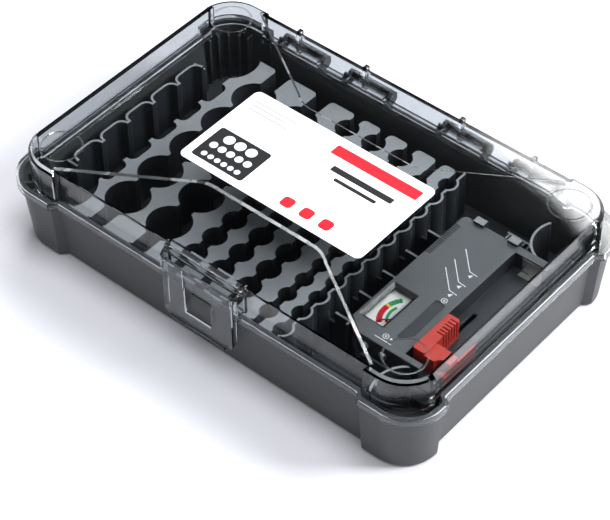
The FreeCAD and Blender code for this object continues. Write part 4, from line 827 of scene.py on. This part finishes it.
@dataclass
class ClearLid:
    """Clear lid with its latch and printed card."""

    ring_x: float = 126.0
    ring_y: float = 73.5
    ring_level: float = 65.52
    ring_line: float = 0.22
    ring_radii: tuple[float, ...] = (11.85, 12.55)
    ring_step: int = 60
    margin: float = 5.0
    band_l: float = 62.0
    band_w: float = 8.0
    band_round: float = 1.2
    panel_w: float = 38.0
    panel_h: float = 28.0
    panel_round: float = 2.0
    panel_edge: float = 5.0
    disc_radii: tuple[float, ...] = (3.6, 2.6, 1.9)
    disc_gap: float = 1.2
    disc_from: float = 6.2
    disc_pitch: float = 8.6
    bars: tuple[Band, ...] = ((44.0, 4.4), (30.0, 2.6))
    bar_from: float = 4.6           # in margins
    bar_pitch: float = 6.6
    bar_round: float = 0.8
    line_lengths: tuple[float, ...] = (34.0, 26.0, 30.0)
    line_from: float = 1.6          # in margins
    line_pitch: float = 3.6
    line_w: float = 1.2
    line_round: float = 0.5
    squares: int = 3
    square: float = 8.0
    square_from: float = 1.9        # in margins
    square_pitch: float = 14.0
    square_round: float = 2.4

    def build(self, palette: Palette) -> None:
        """Dress the clear parts and print the card.

        Args:
            palette: Finishes of the case.
        """
        palette.dress("lid", LID_CLEAR)
        palette.dress("latch", LATCH_CLEAR)
        palette.dress("label_card", CARD)
        self.print_card(palette)
        self.shade_rings(palette)

    def shade_rings(self, palette: Palette) -> None:
        """Thin lines of painted shade in the ring grooves at the lid's corners.

        Args:
            palette: Finishes of the case.
        """
        rings = PrintLayer("lid_ring_shades", self.ring_level, RING_PAINTED_SHADE, Body.LID, "clear_lid")
        for sx in (-1, 1):
            for sy in (-1, 1):
                x, y = sx * self.ring_x, sy * self.ring_y
                for radius in self.ring_radii:
                    outer = radius + self.ring_line
                    for start in range(0, 360, self.ring_step):
                        rings.add(sector(x, y, radius, outer, start, start + self.ring_step))
        rings.build(palette)

    def print_card(self, palette: Palette) -> None:
        """Generic print: a red band, a dark field with discs, plain bars and three red squares.

        Args:
            palette: Finishes of the case.
        """
        low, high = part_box("label_card")
        x0, y0, x1, y1 = low.x / MM, low.y / MM, high.x / MM, high.y / MM
        top = high.z / MM - CARD_SINK
        red = PrintLayer("label_red_fields", top, RED_INK, Body.LID, "label_print")
        dark = PrintLayer("label_dark_fields", top, DARK_INK, Body.LID, "label_print")
        grey = PrintLayer("label_grey_lines", top, GREY_INK, Body.LID, "label_print")
        pale = PrintLayer("label_pale_discs", top + OVERPRINT, PALE_INK, Body.LID, "label_print")
        left, right = x0 + self.margin, x1 - self.margin
        band_x = right - self.band_l / 2
        red.add(rounded(band_x, y1 - 2 * self.margin, self.band_l, self.band_w, self.band_round))
        panel_x = left + self.panel_w / 2
        panel_y = y0 + self.margin + self.panel_h / 2
        dark.add(rounded(panel_x, panel_y, self.panel_w, self.panel_h, self.panel_round))
        for row, radius in enumerate(self.disc_radii):
            pitch = radius * 2 + self.disc_gap
            count = int((self.panel_w - self.panel_edge) / pitch)
            disc_y = panel_y + self.panel_h / 2 - self.disc_from - row * self.disc_pitch
            for index in range(count):
                pale.add(disc(panel_x + (index - (count - 1) / 2) * pitch, disc_y, radius))
        for row, (length, thick) in enumerate(self.bars):
            bar_y = y1 - self.bar_from * self.margin - row * self.bar_pitch
            dark.add(rounded(band_x, bar_y, length, thick, self.bar_round))
        for row, length in enumerate(self.line_lengths):
            line_y = y1 - self.line_from * self.margin - row * self.line_pitch
            grey.add(rounded(left + length / 2, line_y, length, self.line_w, self.line_round))
        for index in range(self.squares):
            square_x = right - self.band_l + self.square + index * self.square_pitch
            square_y = y0 + self.square_from * self.margin
            red.add(rounded(square_x, square_y, self.square, self.square, self.square_round))
        for layer in (red, dark, grey, pale):
            layer.build(palette)


Fields = tuple[tuple[float, float, float, float], ...]      # inner and outer radius, start and end degree

TESTER_FINISHES: tuple[tuple[Finish, tuple[str, ...]], ...] = (
    (COVER_PLASTIC, ("tester_cover",)),
    (TESTER_PLASTIC, ("tester_base", "slider_keeper")),
    (SLIDER_PLASTIC, ("tester_slider",)),
    (NICKEL, ("slider_contact", "fixed_contact", "block_cell_contacts")),
    (METER_PLASTIC, ("meter_case",)),
    (SCALE_CARD, ("meter_scale",)),
    (PANE_CLEAR, ("meter_window",)),
    (MAGNET, ("meter_magnet",)),
    (STEEL, ("meter_yoke", "meter_staff", "tester_screws")),
    (NEEDLE_PAINT, ("meter_needle",)),
    (COPPER, ("meter_coil",)),
    (BRASS, ("meter_bridges", "meter_hairspring")),
    (LAMINATE, ("circuit_board",)),
    (LACQUER, ("load_resistors",)),
)


@dataclass
class CellTester:
    """Cell tester with its meter, print and red slider."""

    ink: float = 0.5
    lead_knees: tuple[float, ...] = (0.9, 9.2, 19.5)
    lead_x: tuple[float, float, float] = (86.4, 98.9, 104.4)
    lead_rise: float = 12.7
    lead_drop: float = 0.5
    lead_arrow: tuple[float, float] = (101.4, -2.8)
    lead_arrow_size: float = 1.9
    lead_arrow_turn: float = 60.0
    signs: tuple[tuple[float, float], ...] = ((101.6, -7.2), (93.4, -48.4))
    sign_ring: Band = (1.5, 1.9)
    sign_arm: Band = (0.2, 0.9)
    sign_line: float = 0.4
    under_line: Band = (88.0, 99.5)
    under_y: float = -51.6
    under_arrow: tuple[float, float] = (97.2, -48.4)
    under_arrow_size: float = 1.4
    pivot: tuple[float, float] = (93.0, -29.0)
    red_fields: Fields = ((14.0, 17.4, 173, 222), (10.6, 12.4, 214, 224))
    yellow_fields: Fields = ((14.0, 17.4, 167, 173),)
    green_fields: Fields = ((14.0, 17.4, 138, 167), (10.6, 12.4, 158, 212))
    ticks: range = range(142, 224, 8)
    tick_reach: Band = (14.2, 17.2)
    tick_line: float = 0.25

    def build(self, palette: Palette) -> None:
        """Dress the tester's parts and print its cover and scale.

        Args:
            palette: Finishes of the case.
        """
        for finish, nodes in TESTER_FINISHES:
            for node in nodes:
                palette.dress(node, finish)
        self.print_cover(palette)
        self.print_scale(palette)

    def print_cover(self, palette: Palette) -> None:
        """White leads, arrows and plus signs on the cover.

        Args:
            palette: Finishes of the case.
        """
        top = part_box("tester_cover")[1].z / MM
        white = PrintLayer("tester_marks", top - OVERPRINT, WHITE_INK, Body.CASE, "tester_plastic")
        start_x, knee_x, end_x = self.lead_x
        arrow_x, arrow_y = self.lead_arrow
        for knee_y in self.lead_knees:
            white.add(stroke(start_x, knee_y + self.lead_rise, knee_x, knee_y, self.ink))
            white.add(stroke(knee_x, knee_y, end_x, knee_y - self.lead_drop, self.ink))
            white.add(arrow(arrow_x, knee_y + arrow_y, self.lead_arrow_size, self.lead_arrow_turn))
        near, far = self.sign_arm
        for x, y in self.signs:
            white.add(*(sector(x, y, *self.sign_ring, start, start + 90) for start in range(0, 360, 90)))
            white.add(stroke(x - far, y, x + far, y, self.sign_line))
            white.add(stroke(x, y - far, x, y - near, self.sign_line))
            white.add(stroke(x, y + near, x, y + far, self.sign_line))
        line_from, line_to = self.under_line
        white.add(stroke(line_from, self.under_y, line_to, self.under_y, self.ink))
        white.add(arrow(*self.under_arrow, self.under_arrow_size, 0))
        white.build(palette)

    def print_scale(self, palette: Palette) -> None:
        """Red, yellow and green fields on the meter's scale, round the needle's pivot.

        Args:
            palette: Finishes of the case.
        """
        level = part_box("meter_scale")[1].z / MM
        x, y = self.pivot
        for name, ink, fields in (("scale_red", RED_INK, self.red_fields),
                                  ("scale_yellow", YELLOW_INK, self.yellow_fields),
                                  ("scale_green", GREEN_INK, self.green_fields)):
            layer = PrintLayer(name, level - OVERPRINT, ink, Body.CASE, "scale_print")
            for part in fields:
                layer.add(sector(x, y, *part))
            layer.build(palette)
        ticks = PrintLayer("scale_ticks", level + OVERPRINT, DARK_INK, Body.CASE, "scale_print")
        near, far = self.tick_reach
        for angle in self.ticks:
            c, s = math.cos(math.radians(angle)), math.sin(math.radians(angle))
            ticks.add(stroke(x + near * c, y + near * s, x + far * c, y + far * s, self.tick_line))
        ticks.build(palette)


# Studio and camera


@dataclass(frozen=True)
class AreaLamp:
    """A square lamp that faces the case."""

    name: str
    place: Place
    size: float
    power: float
    colour: Colour = (1.0, 1.0, 1.0)

    def build(self) -> None:
        """Create the lamp."""
        light = bpy.data.lights.new(self.name, "AREA")
        light.shape = "SQUARE"
        light.size = self.size
        light.energy = self.power
        light.color = self.colour
        holder = bpy.data.objects.new(self.name, light)
        holder.location = self.place
        holder.rotation_euler = (-Vector(self.place)).to_track_quat("-Z", "Y").to_euler()
        bpy.context.scene.collection.objects.link(holder)


@dataclass(frozen=True)
class Surround:
    """Sky round the case: white at the horizon, dark above it, with one soft white screen."""

    sky_low: Colour = (1.0, 1.0, 1.0)
    sky_high: Colour = (0.020, 0.021, 0.024)
    white_to: float = 0.30
    dark_from: float = 0.52
    screen_edge: Place = (0.24599, 0.79244, -0.55815)
    screen_middle: Place = (-0.38959, 0.62157, 0.67961)
    screen_soft: float = 0.004
    screen_reach: Band = (0.955, 0.975)
    screen_strength: float = 12.0

    def build(self) -> None:
        """Create the world."""
        world = bpy.data.worlds.new("surround")
        world.use_nodes = True
        t = TreeBuilder(world.node_tree)
        way = t.node("ShaderNodeTexCoord").outputs["Generated"]
        height = t.ranged(t.axis(way, "Z"), (self.white_to, self.dark_from), smooth=True)
        edge = (-self.screen_soft, self.screen_soft)
        bright = t.ranged(t.along(way, self.screen_edge), edge, smooth=True)
        inside = t.ranged(t.along(way, self.screen_middle), self.screen_reach, (0.0, self.screen_strength),
                          smooth=True)
        both = t.node("ShaderNodeVectorMath", operation="ADD")
        t.link(t.blend(height, self.sky_low, self.sky_high), both.inputs[0])
        t.link(t.math("MULTIPLY", bright, inside), both.inputs[1])
        t.link(both.outputs["Vector"], t.tree.nodes["Background"].inputs["Color"])
        bpy.context.scene.world = world


@dataclass
class Studio:
    """White floor, soft lamps and a pale surround."""

    floor_size: float = 30.0
    floor_colour: Colour = (0.62, 0.62, 0.66)
    floor_roughness: float = 0.9
    floor_specular: float = 0.1
    glow_colour: Colour = (0.9, 0.91, 1.0)
    glow_band: Band = (0.7, 2.2)            # metres from the case's middle
    glow_strength: Band = (0.05, 0.85)
    lamps: tuple[AreaLamp, ...] = (
        AreaLamp("key", (1.3, 0.95, 1.2), 0.6, 58.0, (1.0, 0.995, 0.985)),
        AreaLamp("overhead", (0.25, 0.1, 2.3), 1.3, 50.0, (0.98, 0.99, 1.0)),
        AreaLamp("side", (1.5, -0.3, 0.6), 0.7, 4.0),
    )

    def build(self) -> None:
        """Make the floor, world and lamps."""
        self.floor()
        Surround().build()
        for lamp in self.lamps:
            lamp.build()

    def floor(self) -> None:
        """Pale floor that keeps the shadow and glows from some way off."""
        half = self.floor_size / 2
        corners = [(-half, -half, 0), (half, -half, 0), (half, half, 0), (-half, half, 0)]
        mesh = bpy.data.meshes.new("floor")
        mesh.from_pydata(corners, [], [(0, 1, 2, 3)])
        m = MaterialBuilder("floor_white")
        m.set(Base_Color=(*self.floor_colour, 1), Roughness=self.floor_roughness,
              Specular_IOR_Level=self.floor_specular, Emission_Color=(*self.glow_colour, 1))
        reach = m.node("ShaderNodeVectorMath", operation="LENGTH")
        m.link(m.node("ShaderNodeTexCoord").outputs["Object"], reach.inputs[0])
        glow = m.ranged(reach.outputs["Value"], self.glow_band, self.glow_strength, smooth=True)
        m.link(glow, m.shader.inputs["Emission Strength"])
        mesh.materials.append(m.material)
        floor = bpy.data.objects.new("floor", mesh)
        bpy.context.scene.collection.objects.link(floor)


@dataclass(frozen=True)
class PhotoCamera:
    """The photograph's viewpoint, in the case's frame."""

    azimuth: float = 40.888
    pitch: float = 45.835
    roll: float = -0.840
    place: Place = (0.603951, -0.704467, 0.952193)
    focal_pixels: float = 2267.14
    frame_width: float = 610.0
    sensor: float = 36.0
    clip: Band = (0.05, 50.0)

    def build(self) -> None:
        """Create the camera and make it the scene's own."""
        a, p, r = (math.radians(v) for v in (self.azimuth, self.pitch, self.roll))
        back = Vector((math.sin(a) * math.cos(p), -math.cos(a) * math.cos(p), math.sin(p)))
        right = Vector((math.cos(a), math.sin(a), 0.0))
        up = back.cross(right)
        right_rolled = right * math.cos(r) + up * math.sin(r)
        up_rolled = up * math.cos(r) - right * math.sin(r)
        data = bpy.data.cameras.new("camera")
        data.sensor_fit = "HORIZONTAL"
        data.sensor_width = self.sensor
        data.lens = self.focal_pixels / self.frame_width * self.sensor
        data.clip_start, data.clip_end = self.clip
        camera = bpy.data.objects.new("camera", data)
        axes = Matrix((right_rolled, up_rolled, back)).transposed()
        camera.matrix_world = Matrix.Translation(self.place) @ axes.to_4x4()
        bpy.context.scene.collection.objects.link(camera)
        bpy.context.scene.camera = camera


def main() -> None:
    """Build the looks in order."""
    logging.basicConfig(level=logging.INFO, format="%(message)s")
    scene = bpy.context.scene
    scene.view_settings.view_transform = "Standard"
    palette = Palette(Groups())
    PhotoCamera().build()
    Studio().build()
    CaseShell().build(palette)
    ClearLid().build(palette)
    CellTester().build(palette)


if __name__ == "__main__":
    main()
